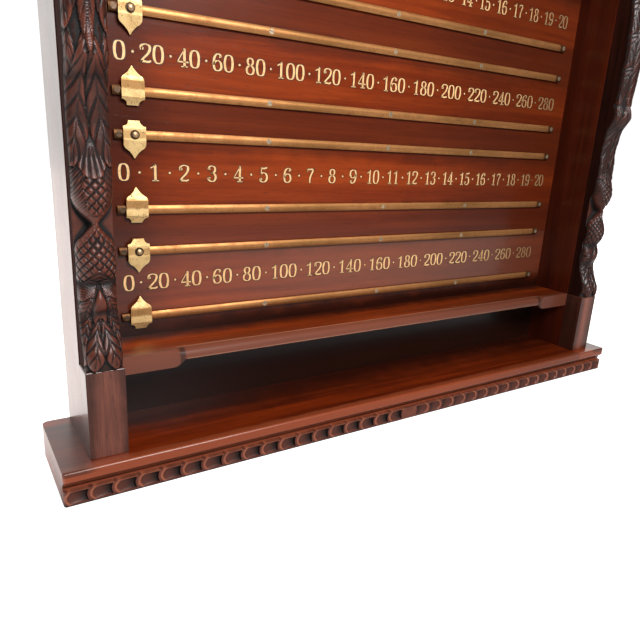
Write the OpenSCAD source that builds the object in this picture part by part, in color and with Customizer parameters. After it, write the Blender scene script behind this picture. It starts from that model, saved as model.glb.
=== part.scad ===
// Wall-hung score board for a table game: a moulded base, carved pilasters, a chalk shelf,
// and a recessed panel with pairs of brass rails that carry sliding pointers.
// Millimetres. Origin at the centre of the footprint, on the surface that the base stands on.
// X runs along the board to the right, Y from the viewer to the wall, Z up.

/* [Case] */
// Width across the outer faces of the side boards
case_w = 1000; // [900:1:1400]
// Height of the side boards above the base
side_h = 744; // [730:1:900]
// Thickness of a side board, a plinth block and a pilaster
side_t = 46; // [40:1:60]
// Depth of a side board, front edge to back edge
side_d = 99; // [99:1:140]
// Depth from a side board's front edge to the face of the score panel
panel_recess = 78; // [70:1:78]
// Thickness of the score panel
panel_t = 12; // [8:1:12]
// Depth that panel and shelf are let into each side board
housing_d = 8; // [4:1:14]

/* [Base] */
// Height of the base, top board and moulding together
base_h = 46; // [44:1:60]
// Thickness of the base's top board
base_board_t = 26; // [25:1:28]
// How far the base runs past the side boards at each end
base_end = 36; // [20:1:60]
// How far the base runs past the plinth blocks at the front
base_front = 18.5; // [16:0.5:40]
// Height of the rounded nose on the base board
nose_h = 15; // [12:0.5:16]
// Radius of the nose's rounded corners
nose_r = 4; // [2:0.5:5.5]
// Radius of the hollow under the nose
cove_r = 8; // [5:0.5:8]
// Radius of the base's back corners in plan
base_corner_r = 9; // [4:1:16]
// Radius of the base's front corners in plan
front_corner_r = 5; // [2:0.5:8]

/* [Carved moulding] */
// Depth of the carved strip, front to back
ribbon_d = 22; // [16:1:30]
// Set-back of the carved strip behind the nose
ribbon_setback = 2; // [0:0.5:4]
// Plain fillet above and below the scoops
ribbon_fillet = 2; // [1:0.5:3]
// Deepest cut of a scoop
scoop_d = 5.5; // [2:0.5:6]
// Width of the flat lip between two scoops
scoop_lip = 4; // [2:0.5:8]
// Scooped units on each side of the flat centre block
scoops_a_side = 18; // [12:1:22]

/* [Plinth blocks and shelf] */
// Height of the plinth blocks and of the shelf's top
block_h = 114; // [90:1:118]
// Depth of a plinth block in front of its side board
block_d = 34.5; // [30:0.5:50]
// Bevel round a plinth block's top
block_bevel = 1.5; // [0.5:0.5:4]
// Thickness of the chalk shelf
shelf_t = 24.5; // [22:0.5:30]
// Length of the plain end left at each end of the shelf's moulding
shelf_plain = 80; // [40:1:140]
// Length of the run-out between the plain end and the moulded stretch
tongue_l = 17; // [8:0.5:30]
// Height that the moulded stretch is cut up from the shelf's underside
shelf_cut_h = 9.5; // [6:0.5:11]
// Depth of that cut, front to back
shelf_cut_d = 40; // [20:1:60]
// Radius of the moulded stretch's ovolo
ovolo_r = 10; // [5:0.5:10]

/* [Pilasters] */
// Set-in of a pilaster's sides from the sides of its block
pilaster_inset = 0.8; // [0:0.1:3]
// Depth of the ground that the carving stands on
ground_d = 14; // [8:1:20]
// Depth that the lattice on the cones is cut
lattice_d = 1.6; // [0.5:0.1:2.5]
// Depth of the hollows between the ribs of the leaves
rib_d = 1.2; // [0.5:0.1:2]

/* [Rails and pointers] */
// Height of the lowest rail above the chalk shelf
rail_foot = 28.5; // [26:0.5:40]
// Distance from the highest rail to the top of the side boards
rail_head = 69.5; // [64:0.5:90]
// Distance from a row's upper rail to the next row's lower rail
row_gap = 53.5; // [44:0.5:60]
// How far each row's upper rail sits from its even place, bottom row first
row_trim = [-1.5, 1.5, 0, 0];
// Distance from the left side board to the rails
rail_gap_left = 26.5; // [20:0.5:34]
// Distance from the right side board to the rails
rail_gap_right = 31.5; // [20:0.5:40]
// Height of a rail's head
rail_h = 11.3; // [10.5:0.1:14]
// Thickness of a rail's head at its edges
rail_edge_t = 1.6; // [1.2:0.1:3]
// Rise of the head's rounded front above its edges
rail_crown = 1.8; // [0.6:0.1:2.2]
// Height of the stem that carries the head
rail_stem_h = 7; // [5:0.5:8]
// Depth of the stem, which is the slot behind the head
rail_stem_d = 2.6; // [2:0.1:4]
// Distance of the end screws from the rail's ends
rail_end_screw = 6; // [5:0.5:12]
// Places of the three inner screws, from the middle of the board
rail_screw_x = [-210.5, 9, 201];
// Diameter of a screw's head
screw_head = 7.6; // [6:0.1:9]
// Diameter of a screw's shank
screw_d = 3.6; // [2.5:0.1:4]
// Length of a rail screw
screw_l = 14; // [10:0.5:16]
// Distance of the pointers at rest from the left end of the rails
pointer_rest = 25; // [16:0.5:200]
// Width of a pointer
pointer_w = 28.5; // [24:0.5:34]
// Length of a pointer from the rail's middle to its tip
pointer_tip = 29; // [26:0.5:36]
// Length of a pointer from the rail's middle to its square end
pointer_tail = 17; // [15:0.5:22]
// Thickness of a pointer's plate
plate_t = 1.2; // [0.8:0.1:2]
// Radius of the notches beside the square end
notch_r = 7; // [4:0.5:8]
// Height of a pointer's straight sides above the rail's middle
shoulder_z = 11; // [8:0.5:12]
// Radius of a pointer's shoulders
shoulder_r = 8; // [6:0.5:11.5]
// Half width of the tip where it leaves the shoulders
tip_hw = 9.5; // [8:0.5:11]
// Radius of the hollow in the tip's flanks
flank_r = 30; // [20:1:60]
// Radius of the nub at the tip's end
nub_r = 1; // [0.8:0.1:2]
// Width of the clip behind a pointer
clip_w = 20; // [14:1:22]
// Thickness of the clip's metal
clip_t = 0.9; // [0.6:0.1:1.1]
// Running clearance between the clip and the rail
clip_gap = 0.3; // [0.2:0.05:0.5]
// Diameter of the knob on an upper pointer
knob_d = 11.5; // [8:0.5:13]

/* [Top and back] */
// Height of the cornice above the side boards
cornice_h = 46; // [44:1:60]
// Height of the frieze rail under the cornice
frieze_h = 34; // [20:1:40]
// Thickness of the frieze rail
frieze_t = 20; // [14:1:24]
// Height of a batten behind the panel
batten_h = 60; // [40:1:80]
// Depth of a batten screw in the panel
batten_screw_bite = 7; // [4:0.5:8]
// Height of the wall screws below the frieze rail
hanging_drop = 10; // [8:0.5:20]
// Distance between the two wall screws
hanging_span = 800; // [500:10:840]
// Diameter of the holes for the wall screws
hanging_hole = 6; // [4:0.5:8]
// Length of the screws up through the base
base_screw_l = 66; // [54:1:90]
// Diameter of those screws
base_screw_d = 5; // [4:0.5:6]
// Depth of the counterbore that takes their heads
counterbore_h = 10; // [6:0.5:14]
// Length of the dowels between side boards and cornice
dowel_l = 58; // [50:1:70]
// Diameter of the dowels
dowel_d = 10; // [8:0.5:12]
// Clearance round screws and dowels in their holes
fit_gap = 0.1; // [0.05:0.05:0.3]

/* [Hidden] */
$fn = 48;
e = 0.01;
margin = 1;
// Height of the step under the nose, and how far the hollow's centre lies in front of it
nose_step = 1;
cove_inset = 3;
base_w = case_w + 2 * base_end;
total_d = base_front + block_d + side_d;
y_front = -total_d / 2;
y_back = total_d / 2;
y_block = y_front + base_front;
y_side = y_block + block_d;
y_panel = y_side + panel_recess;
y_batten = y_panel + panel_t;
batten_t = y_back - y_batten;
inner_w = case_w - 2 * side_t;
z_top = base_h + side_h;
under_t = base_h - base_board_t;
pilaster_h = side_h - block_h;
pilaster_hw = side_t / 2 - pilaster_inset;
shelf_z = base_h + block_h - shelf_t;
rail_proud = rail_stem_d + rail_edge_t + rail_crown;
web_y = rail_proud + clip_gap;
plate_y = web_y + clip_t;
row_count = 4;
pair_gap = (side_h - block_h - rail_foot - rail_head - (row_count - 1) * row_gap) / row_count;
lower_rail_z = [for (k = [0 : row_count - 1]) block_h + rail_foot + k * (pair_gap + row_gap)];
upper_rail_z = [for (k = [0 : row_count - 1]) lower_rail_z[k] + pair_gap + row_trim[k]];
rail_zs = concat(lower_rail_z, upper_rail_z);
rail_x0 = -inner_w / 2 + rail_gap_left;
rail_x1 = inner_w / 2 - rail_gap_right;
pointer_x = rail_x0 + pointer_rest;
screw_xs = concat([rail_x0 + rail_end_screw, rail_x1 - rail_end_screw], rail_screw_x);
batten_zs = [base_h + block_h / 2, base_h + side_h / 2, z_top - frieze_h - hanging_drop];
batten_screw_xs = [for (k = [-3 : 2 : 3]) k * inner_w / 8];
side_screw_ys = [y_side + side_d / 4, y_side + 3 * side_d / 4];
tongue_steps = 10;
base_screw_head_h = 4;
screw_sink = 2.4;
rivet_r = 1.5;
slot_w = 1;
// Half height of the clip, and the height where a plate starts to bend away from it
clip_hh = rail_h / 2 + clip_gap + clip_t;
bend_z = clip_hh + 0.5;
// Bent lines of the two plates: [height from the rail's middle, distance from the panel]
upper_bends = [[-pointer_tail - 1, plate_y - 2.6], [-bend_z, plate_y], [bend_z, plate_y],
               [pointer_tip + 1, plate_y - 4.6]];
lower_bends = [[-pointer_tail - 1, plate_y - 5.2], [-bend_z, plate_y], [1, plate_y],
               [12, plate_y + 0.6], [pointer_tip + 1, plate_y - 4.2]];

mahogany = "#6b2f1b";
dark_mahogany = "#4a2417";
brass = "#c9a44c";
bright_brass = "#e3c878";
hidden_wood = "#8a5a3a";
steel = "#b9b4a8";

// Lays a 2D outline, drawn as [depth from the wall side, height], along X between x0 and x1
module along_x(x0, x1)
    translate([x0, 0, 0]) rotate([90, 0, 90]) linear_extrude(x1 - x0) children();

// Lays a 2D front-view outline through the depth from y0 back to y1
module through_y(y0, y1)
    translate([0, y1, 0]) rotate([90, 0, 0]) linear_extrude(y1 - y0) children();

// Draws its children at both ends of the board, the right one mirrored
module both_ends() {
    children();
    mirror([1, 0, 0]) children();
}

// The waste that rounding with radius r takes off a square corner, with the stock towards +x and +y
module corner_waste(r) difference() {
    translate([-margin, -margin]) square(r + margin);
    translate([r, r]) circle(r);
}

// Outline of a moulded board, nose upwards: a rounded nose, a small step, and a hollow below it
module nosed_outline(height, front, back) {
    step = nose_r + 0.5;
    hollow_z = height - nose_h - nose_step - cove_r;
    difference() {
        translate([front, 0]) square([back - front, height]);
        translate([front, height]) rotate(-90) corner_waste(nose_r);
        translate([front, height - nose_h]) corner_waste(nose_r);
        translate([front - margin, -margin]) square([step + margin, height - nose_h + margin]);
        translate([front + step - cove_inset, hollow_z]) circle(cove_r);
        translate([front - margin, -margin])
            square([step - cove_inset + cove_r + margin, hollow_z + margin]);
    }
}

// Rounds the two back corners, in plan, of the board that it is given
module round_back(z0, z1) difference() {
    children();
    both_ends() translate([-base_w / 2, y_back, z0 - margin]) linear_extrude(z1 - z0 + 2 * margin)
        rotate(-90) corner_waste(base_corner_r);
}

// Rounds the two front corners, in plan, of the board or strip that it is given
module round_front(z0, z1, front) difference() {
    children();
    both_ends() translate([-base_w / 2, front, z0 - margin]) linear_extrude(z1 - z0 + 2 * margin)
        corner_waste(front_corner_r);
}

module base_board() color(mahogany)
    difference() {
        round_front(under_t, base_h, y_front) round_back(under_t, base_h)
            translate([0, 0, under_t]) along_x(-base_w / 2, base_w / 2)
                nosed_outline(base_board_t, y_front, y_back);
        base_screw_holes();
    }

module base_under_board() color(mahogany)
    difference() {
        front = y_front + ribbon_setback + ribbon_d;
        round_back(0, under_t) translate([-base_w / 2, front, 0]) cube([base_w, y_back - front, under_t]);
        base_screw_holes();
    }

// Places its children under each side board, where the base screws go up into it
module at_base_screws() both_ends() for (y = side_screw_ys)
    translate([-(case_w - side_t) / 2, y, 0]) children();

module base_screw_holes() at_base_screws() {
    translate([0, 0, -e]) cylinder(d = base_screw_d + 2 * fit_gap, h = base_h + 2 * e);
    translate([0, 0, -e]) cylinder(d = 2 * base_screw_d + 2 * fit_gap, h = counterbore_h);
}

module base_screws() color(steel) at_base_screws()
    translate([0, 0, counterbore_h - base_screw_head_h - e]) {
        cylinder(d = 2 * base_screw_d, h = base_screw_head_h);
        cylinder(d = base_screw_d, h = base_screw_l);
    }

// One scoop: a gouge cut that starts at nothing by the left lip and is deepest at its right end
module scoop(pitch, height) {
    run = pitch - scoop_lip;
    half = height / 2 - ribbon_fillet;
    r = (half * half + scoop_d * scoop_d) / (2 * scoop_d);
    intersection() {
        translate([scoop_lip, -e, 0]) cube([run, scoop_d + e, height]);
        translate([scoop_lip, -r, height / 2]) rotate([0, 0, atan(scoop_d / run)])
            rotate([0, 90, 0]) cylinder(r = r, h = 2 * run);
    }
}

module base_carved_moulding() color(dark_mahogany) {
    pitch = base_w / (2 * scoops_a_side + 1);
    front = y_front + ribbon_setback;
    difference() {
        round_front(0, under_t, front) along_x(-base_w / 2, base_w / 2) translate([front, 0]) difference() {
            square([ribbon_d, under_t]);
            corner_waste(ribbon_fillet);
        }
        both_ends() for (k = [0 : scoops_a_side - 1])
            translate([-base_w / 2 + k * pitch, front, 0]) scoop(pitch, under_t);
    }
}

module side_board() difference() {
    translate([-case_w / 2, y_side, base_h]) cube([side_t, side_d, side_h]);
    translate([-inner_w / 2 - housing_d, y_panel, base_h - e])
        cube([housing_d + e, side_d, side_h + 2 * e]);
    translate([-inner_w / 2 - housing_d, y_side + housing_d, shelf_z])
        cube([housing_d + e, side_d, shelf_t]);
    for (y = side_screw_ys) translate([-(case_w - side_t) / 2, y, 0]) {
        translate([0, 0, base_h - e])
            cylinder(d = base_screw_d + 2 * fit_gap, h = base_screw_l + counterbore_h - base_h);
        dowel_hole();
    }
}

module left_side_board() color(mahogany) side_board();
module right_side_board() color(mahogany) mirror([1, 0, 0]) side_board();

module plinth_block() {
    b = block_bevel;
    intersection() {
        translate([-case_w / 2, 0, base_h]) through_y(y_block, y_side)
            polygon([[0, 0], [side_t, 0], [side_t, block_h - b], [side_t - b, block_h],
                     [b, block_h], [0, block_h - b]]);
        translate([0, 0, base_h]) along_x(-case_w / 2, -case_w / 2 + side_t)
            polygon([[y_block, 0], [y_side, 0], [y_side, block_h], [y_block + b, block_h],
                     [y_block, block_h - b]]);
    }
}

module left_plinth_block() color(mahogany) plinth_block();
module right_plinth_block() color(mahogany) mirror([1, 0, 0]) plinth_block();

// The shelf's front edge: plain at the ends, and between them cut up from below and rounded to an
// ovolo above, with a run-out at each stop
module chalk_shelf() color(mahogany) {
    x_stop = inner_w / 2 - shelf_plain;
    x_out = x_stop + tongue_l / 2;
    x_in = x_stop - tongue_l / 2;
    tongue = [for (k = [0 : tongue_steps]) let (t = k / tongue_steps)
        [-x_out + t * tongue_l, shelf_cut_h * t * t]];
    cut = concat([[-x_out, -margin]], tongue,
                 [for (k = [tongue_steps : -1 : 0]) [-tongue[k][0], tongue[k][1]]], [[x_out, -margin]]);
    translate([0, 0, shelf_z]) {
        difference() {
            translate([-inner_w / 2, y_side, 0]) cube([inner_w, y_panel - y_side, shelf_t]);
            through_y(y_side - margin, y_side + shelf_cut_d) polygon(cut);
            intersection() {
                along_x(-inner_w / 2, inner_w / 2)
                    translate([y_side, shelf_t]) rotate(-90) corner_waste(ovolo_r);
                through_y(y_side - 2 * margin, y_side + ovolo_r + margin)
                    polygon([[-x_out, shelf_t + 2 * margin], [x_out, shelf_t + 2 * margin],
                             [x_in, shelf_t - ovolo_r - margin], [-x_in, shelf_t - ovolo_r - margin]]);
            }
        }
        both_ends() translate([-inner_w / 2 - housing_d, y_side + housing_d, 0])
            cube([housing_d + e, y_panel - y_side - housing_d, shelf_t]);
    }
}

module score_panel() color(mahogany)
    difference() {
        translate([-inner_w / 2 - housing_d, y_panel, base_h])
            cube([inner_w + 2 * housing_d, panel_t, side_h]);
        for (z = rail_zs) for (x = screw_xs) translate([x, y_panel - e, base_h + z])
            rotate([-90, 0, 0]) cylinder(r = screw_d / 2 + fit_gap, h = screw_l - rail_proud + 1);
        for (z = batten_zs) batten_screw_holes(z, fit_gap);
        wall_screw_holes();
    }

module wall_screw_holes()
    for (s = [-1, 1])
        translate([s * hanging_span / 2, y_panel - e, batten_zs[2]])
            rotate([-90, 0, 0]) cylinder(d = hanging_hole, h = panel_t + batten_t + 2 * e);

module frieze_rail() color(mahogany)
    translate([-inner_w / 2, y_side, z_top - frieze_h]) cube([inner_w, frieze_t, frieze_h]);

// The cornice is the base turned over, with a plain hollow in place of the carving
module cornice_board() color(mahogany)
    difference() {
        z = z_top + cornice_h - base_board_t;
        round_front(z, z_top + cornice_h, y_front) round_back(z, z_top + cornice_h)
            translate([0, 0, z]) along_x(-base_w / 2, base_w / 2)
                nosed_outline(base_board_t, y_front, y_back);
        cornice_dowel_holes();
    }

module cornice_moulding() color(mahogany)
    difference() {
        height = cornice_h - base_board_t;
        translate([-case_w / 2 - 8, y_front + cove_r + 2, z_top])
            cube([case_w + 16, y_back - y_front - cove_r - 2, height]);
        cornice_dowel_holes();
    }

module cornice_dowel_holes()
    both_ends() for (y = side_screw_ys) translate([-(case_w - side_t) / 2, y, 0]) dowel_hole();

module dowel_hole()
    translate([0, 0, z_top - dowel_l / 2 - 1]) cylinder(d = dowel_d + 2 * fit_gap, h = dowel_l + 2);

module cornice_dowels() color(hidden_wood)
    both_ends() for (y = side_screw_ys)
        translate([-(case_w - side_t) / 2, y, z_top - dowel_l / 2]) cylinder(d = dowel_d, h = dowel_l);

module batten(z) color(hidden_wood)
    difference() {
        translate([-inner_w / 2 - housing_d, y_batten, z - batten_h / 2])
            cube([inner_w + 2 * housing_d, batten_t, batten_h]);
        batten_screw_holes(z, fit_gap);
        wall_screw_holes();
    }

module batten_screw_holes(z, gap)
    for (x = batten_screw_xs) translate([x, y_back + gap, z]) rotate([90, 0, 0]) batten_screw(gap);

// A countersunk screw, head downwards, grown by a gap to make its hole
module batten_screw(gap) {
    cylinder(r = screw_d / 2 + gap, h = batten_t + batten_screw_bite + 2 * gap);
    cylinder(r1 = screw_head / 2 + gap, r2 = screw_d / 2 + gap, h = screw_sink + 2 * gap);
}

module lower_batten() batten(batten_zs[0]);
module middle_batten() batten(batten_zs[1]);
module hanging_batten() batten(batten_zs[2]);

module batten_screws() color(steel)
    for (z = batten_zs) batten_screw_holes(z, 0);

// Outline of a rail, drawn as [height about its middle, distance from the panel]
module rail_outline() {
    half = rail_h / 2;
    r = (half * half + rail_crown * rail_crown) / (2 * rail_crown);
    translate([-rail_stem_h / 2, 0]) square([rail_stem_h, rail_stem_d + e]);
    translate([-half, rail_stem_d]) square([rail_h, rail_edge_t]);
    intersection() {
        translate([0, rail_proud - r]) circle(r);
        translate([-half, rail_stem_d + rail_edge_t - e]) square([rail_h, rail_crown + 1]);
    }
}

module rail(z) color(brass)
    difference() {
        translate([rail_x0, y_panel, base_h + z]) rotate([90, 0, 90]) rotate([0, 0, 90])
            linear_extrude(rail_x1 - rail_x0) rail_outline();
        for (x = screw_xs) at_rail_front(x, z) {
            translate([0, 0, -rail_proud - e])
                cylinder(r = screw_d / 2 + fit_gap, h = rail_proud + 2 * e);
            translate([0, 0, -screw_sink])
                cylinder(r1 = screw_d / 2 + fit_gap, r2 = screw_head / 2 + fit_gap, h = screw_sink + e);
        }
    }

// Places its children on a rail's front, with their Z axis towards the viewer
module at_rail_front(x, z)
    translate([x, y_panel - rail_proud, base_h + z]) rotate([90, 0, 0]) children();

module rail_screw(turn) difference() {
    union() {
        translate([0, 0, -screw_sink]) cylinder(r1 = screw_d / 2, r2 = screw_head / 2, h = screw_sink);
        translate([0, 0, -screw_l]) cylinder(r = screw_d / 2, h = screw_l - screw_sink + e);
    }
    rotate([0, 0, turn]) translate([-screw_head, -slot_w / 2, -slot_w])
        cube([2 * screw_head, slot_w, slot_w + e]);
}

module rail_screws() color(steel)
    for (r = [0 : len(rail_zs) - 1]) for (k = [0 : len(screw_xs) - 1])
        at_rail_front(screw_xs[k], rail_zs[r]) rail_screw(37 * r + 61 * k);

// Outline of a pointer, tip upwards, with the rail's middle at the origin: notches beside the square
// end, round shoulders, and a tip with slightly hollow flanks and a round nub
module pointer_outline() {
    hw = pointer_w / 2;
    nub_z = pointer_tip - nub_r;
    flank_foot = [tip_hw, shoulder_z + sqrt(pow(shoulder_r, 2) - pow(tip_hw - hw + shoulder_r, 2))];
    flank = flank_foot - [nub_r, nub_z];
    reach = norm(flank) / 2;
    hollow = flank_foot - flank / 2 + [-flank.y, flank.x] / (2 * reach) * sqrt(pow(flank_r, 2) - pow(reach, 2));
    difference() {
        union() {
            translate([-hw, -pointer_tail]) square([pointer_w, pointer_tail + shoulder_z]);
            translate([shoulder_r - hw, 0]) square([pointer_w - 2 * shoulder_r, shoulder_z + shoulder_r]);
            for (s = [-1, 1]) translate([s * (hw - shoulder_r), shoulder_z]) circle(shoulder_r);
        }
        for (s = [-1, 1]) translate([s * hw, -pointer_tail]) circle(notch_r);
    }
    difference() {
        polygon([[-tip_hw, 0], [tip_hw, 0], flank_foot, [nub_r, nub_z], [-nub_r, nub_z],
                 [-flank_foot.x, flank_foot.y]]);
        for (s = [-1, 1]) translate([s * hollow.x, hollow.y]) circle(flank_r);
    }
    translate([0, nub_z]) circle(nub_r);
}

// A pointer's plate: its outline cut from a strip that is bent to the given [height, distance] line
module pointer_plate(bends) intersection() {
    rotate([90, 0, 0]) linear_extrude(30) pointer_outline();
    translate([-pointer_w, 0, 0]) rotate([90, 0, 90]) rotate([0, 0, 90]) linear_extrude(2 * pointer_w)
        polygon(concat(bends, [for (k = [len(bends) - 1 : -1 : 0]) bends[k] + [0, plate_t]]));
}

module lower_pointer(z) color(bright_brass)
    translate([pointer_x, y_panel, base_h + z]) pointer_plate(lower_bends);

// An upper pointer hangs tip down and has a hole for its knob
module upper_pointer(z) color(bright_brass)
    translate([pointer_x, y_panel, base_h + z]) difference() {
        rotate([0, 180, 0]) pointer_plate(upper_bends);
        rotate([90, 0, 0]) cylinder(r = rivet_r + fit_gap, h = 30);
    }

// The clip wraps the rail's head with a running clearance and hooks behind it
module clip(z, bored) color(brass)
    translate([pointer_x, y_panel, base_h + z]) difference() {
        inner = rail_h / 2 + clip_gap;
        lip_back = rail_stem_d - clip_gap - clip_t;
        lip_in = rail_stem_h / 2 + 0.8;
        translate([-clip_w / 2, -plate_y, -clip_hh]) cube([clip_w, plate_y - lip_back, 2 * clip_hh]);
        translate([-clip_w, -web_y, -inner]) cube([2 * clip_w, web_y - rail_stem_d + clip_gap, 2 * inner]);
        translate([-clip_w, -rail_stem_d, -lip_in]) cube([2 * clip_w, rail_stem_d, 2 * lip_in]);
        if (bored) rotate([90, 0, 0]) cylinder(r = rivet_r + fit_gap, h = 30);
    }

module knob(z) color(bright_brass)
    translate([pointer_x, y_panel - plate_y - plate_t, base_h + z]) rotate([90, 0, 0])
        rotate_extrude() {
            square([knob_d / 2, 1]);
            square([knob_d / 2 - 1.6, 1.7]);
            difference() {
                square([knob_d / 2 - 2, 3.2]);
                translate([knob_d / 2 - 1.2, 2.6]) circle(1.2);
            }
            intersection() {
                translate([0, -1.4]) circle(knob_d / 2);
                translate([0, 3]) square([knob_d / 2 - 2, 4]);
            }
            translate([0, -plate_t - clip_t]) square([rivet_r, plate_t + clip_t + e]);
        }

// Swellings of a pilaster, foot to head: [height above the block, reach below, reach above, depth,
// half width, fullness, relief], where relief 1 is a leaf with ribs and 2 a cone with a lattice
swellings = [[14, 60, 56, 40, 29, 2, 1], [63, 60, 60, 22, 24, 0.5, 0], [85, 24, 24, 30, 23, 0.5, 1],
             [130, 33, 31, 37, 22, 0.5, 2], [172, 28, 30, 32, 18, 0.5, 2],
             [203, 30, 42, 39, 22, 0.5, 2], [250, 60, 60, 23, 26, 0.5, 1],
             [330, 60, 80, 28, 26, 0.5, 1], [348, 30, 33, 46, 27, 0.5, 1],
             [pilaster_h - 190, 90, 110, 44, 27, 0.5, 1], [pilaster_h - 40, 75, 60, 47, 27, 0.5, 1]];
columns = 16;
row_step = 4.5;

function swell(s, h, b) =
    let (t = (h - b[0]) / (h < b[0] ? b[1] : b[2]), q = 1 - t * t - pow(s / b[4], 2))
    q > 0 ? b[3] * pow(q, b[5]) : 0;

// Depth of the form in front of the side board, at column i and height h, with its relief cut in
function carved_d(s, h, i, j) =
    let (depths = [for (b = swellings) swell(s, h, b)], top = max(depths))
    top <= ground_d ? ground_d
    : let (relief = [for (k = [0 : len(depths) - 1]) if (depths[k] == top) swellings[k][6]][0])
      relief == 2 && (i + j) % 2 == 0 ? top - lattice_d
    : relief == 1 && i % 2 == 0 ? max(top - rib_d, ground_d - rib_d)
    : top;

// The pilaster is a grid of points, closed by a flat back; the points that are cut back by turns make
// the lattice on the cones and the ribs on the leaves
module pilaster_core() {
    rows = ceil(pilaster_h / row_step);
    n = columns + 3;
    points = [for (j = [0 : rows]) let (h = pilaster_h * j / rows) each concat(
        [for (i = [0 : columns])
            let (s = pilaster_hw * sin(180 * i / columns - 90))
            [s, -carved_d(s, h, i, j), h]],
        [[pilaster_hw, 0, h], [-pilaster_hw, 0, h]])];
    sides = [for (j = [0 : rows - 1]) for (i = [0 : n - 1])
        let (a = j * n + i, b = j * n + (i + 1) % n, c = b + n, d = a + n)
        each (i + j) % 2 == 0 ? [[a, c, b], [a, d, c]] : [[a, d, b], [b, d, c]]];
    foot = [for (i = [0 : n - 3]) [n - 1, i, i + 1]];
    head = [for (t = foot) [t[2], t[1], t[0]] + rows * n * [1, 1, 1]];
    polyhedron(points, concat(sides, foot, head), convexity = 10);
}

module pilaster() translate([-case_w / 2 + side_t / 2, y_side, base_h + block_h]) pilaster_core();

module left_carved_pilaster() color(dark_mahogany) pilaster();
module right_carved_pilaster() color(dark_mahogany) mirror([1, 0, 0]) pilaster();

base_board();
base_under_board();
base_carved_moulding();
left_side_board();
right_side_board();
left_plinth_block();
right_plinth_block();
left_carved_pilaster();
right_carved_pilaster();
chalk_shelf();
score_panel();
frieze_rail();
cornice_board();
cornice_moulding();
lower_batten();
middle_batten();
hanging_batten();
rail_screws();
base_screws();
batten_screws();
cornice_dowels();
rail(lower_rail_z[0]);  // row1_lower_rail
rail(upper_rail_z[0]);  // row1_upper_rail
rail(lower_rail_z[1]);  // row2_lower_rail
rail(upper_rail_z[1]);  // row2_upper_rail
rail(lower_rail_z[2]);  // row3_lower_rail
rail(upper_rail_z[2]);  // row3_upper_rail
rail(lower_rail_z[3]);  // row4_lower_rail
rail(upper_rail_z[3]);  // row4_upper_rail
lower_pointer(lower_rail_z[0]);  // row1_lower_pointer
clip(lower_rail_z[0], false);  // row1_lower_clip
upper_pointer(upper_rail_z[0]);  // row1_upper_pointer
clip(upper_rail_z[0], true);  // row1_upper_clip
knob(upper_rail_z[0]);  // row1_upper_knob
lower_pointer(lower_rail_z[1]);  // row2_lower_pointer
clip(lower_rail_z[1], false);  // row2_lower_clip
upper_pointer(upper_rail_z[1]);  // row2_upper_pointer
clip(upper_rail_z[1], true);  // row2_upper_clip
knob(upper_rail_z[1]);  // row2_upper_knob
lower_pointer(lower_rail_z[2]);  // row3_lower_pointer
clip(lower_rail_z[2], false);  // row3_lower_clip
upper_pointer(upper_rail_z[2]);  // row3_upper_pointer
clip(upper_rail_z[2], true);  // row3_upper_clip
knob(upper_rail_z[2]);  // row3_upper_knob
lower_pointer(lower_rail_z[3]);  // row4_lower_pointer
clip(lower_rail_z[3], false);  // row4_lower_clip
upper_pointer(upper_rail_z[3]);  // row4_upper_pointer
clip(upper_rail_z[3], true);  // row4_upper_clip
knob(upper_rail_z[3]);  // row4_upper_knob
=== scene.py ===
"""A wall-hung mahogany score board: boards, carvings, brass and painted numbers for the studio.

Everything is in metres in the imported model's own frame. Sizes in the classes below are millimetres,
as a maker would write them, and are scaled once where a mesh is made.
"""

import logging
import math
from dataclasses import dataclass, field, replace
from enum import Enum
from typing import Callable

import bmesh
import bpy
import numpy as np
from mathutils import Matrix, Vector


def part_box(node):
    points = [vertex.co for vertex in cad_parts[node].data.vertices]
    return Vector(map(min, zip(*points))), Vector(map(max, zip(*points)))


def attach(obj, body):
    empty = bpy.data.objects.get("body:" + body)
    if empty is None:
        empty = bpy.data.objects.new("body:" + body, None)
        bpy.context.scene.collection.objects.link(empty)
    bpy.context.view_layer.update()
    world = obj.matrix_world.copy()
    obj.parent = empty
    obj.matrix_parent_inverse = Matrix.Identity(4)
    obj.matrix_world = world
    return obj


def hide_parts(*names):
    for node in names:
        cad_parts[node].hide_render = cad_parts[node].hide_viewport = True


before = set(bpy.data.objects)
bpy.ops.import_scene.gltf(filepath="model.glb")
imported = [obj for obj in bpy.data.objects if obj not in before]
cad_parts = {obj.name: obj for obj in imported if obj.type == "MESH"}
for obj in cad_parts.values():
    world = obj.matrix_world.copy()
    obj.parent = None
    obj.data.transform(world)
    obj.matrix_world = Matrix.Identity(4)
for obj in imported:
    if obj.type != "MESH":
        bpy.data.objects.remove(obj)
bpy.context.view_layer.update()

LOG = logging.getLogger("score_board")
MM = 0.001

# The panel's face, the top of the base, and half the width across the side boards
PANEL_Y = 55.0
BASE_TOP = 46.0
HALF_CASE = 500.0

# Shades end this far back, just behind the panel's face, and wander at most so far
SHADE_BACK = 56.5
SHADE_WANDER = 50.0

# Points closer than this are one, and edges sharper than this angle are eased
MERGED = 0.01
EASED_FROM = 40
PORE_COLOUR = "#1c0905"
DENT_COLOUR = "#200c07"
SPECKLE_COLOUR = "#5a3512"

Point = tuple[float, float]
Colour = tuple[float, float, float, float]


def tint(code: str) -> Colour:
    """Turns a screen colour such as "#7a2b14" into the linear colour that a shader takes.

    Args:
        code: The colour as a hash and six hexadecimal digits.

    Returns:
        Linear red, green and blue, and an alpha of 1.
    """
    parts = [int(code[k:k + 2], 16) / 255 for k in (1, 3, 5)]
    linear = [c / 12.92 if c <= 0.04045 else ((c + 0.055) / 1.055) ** 2.4 for c in parts]
    return (linear[0], linear[1], linear[2], 1.0)


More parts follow.
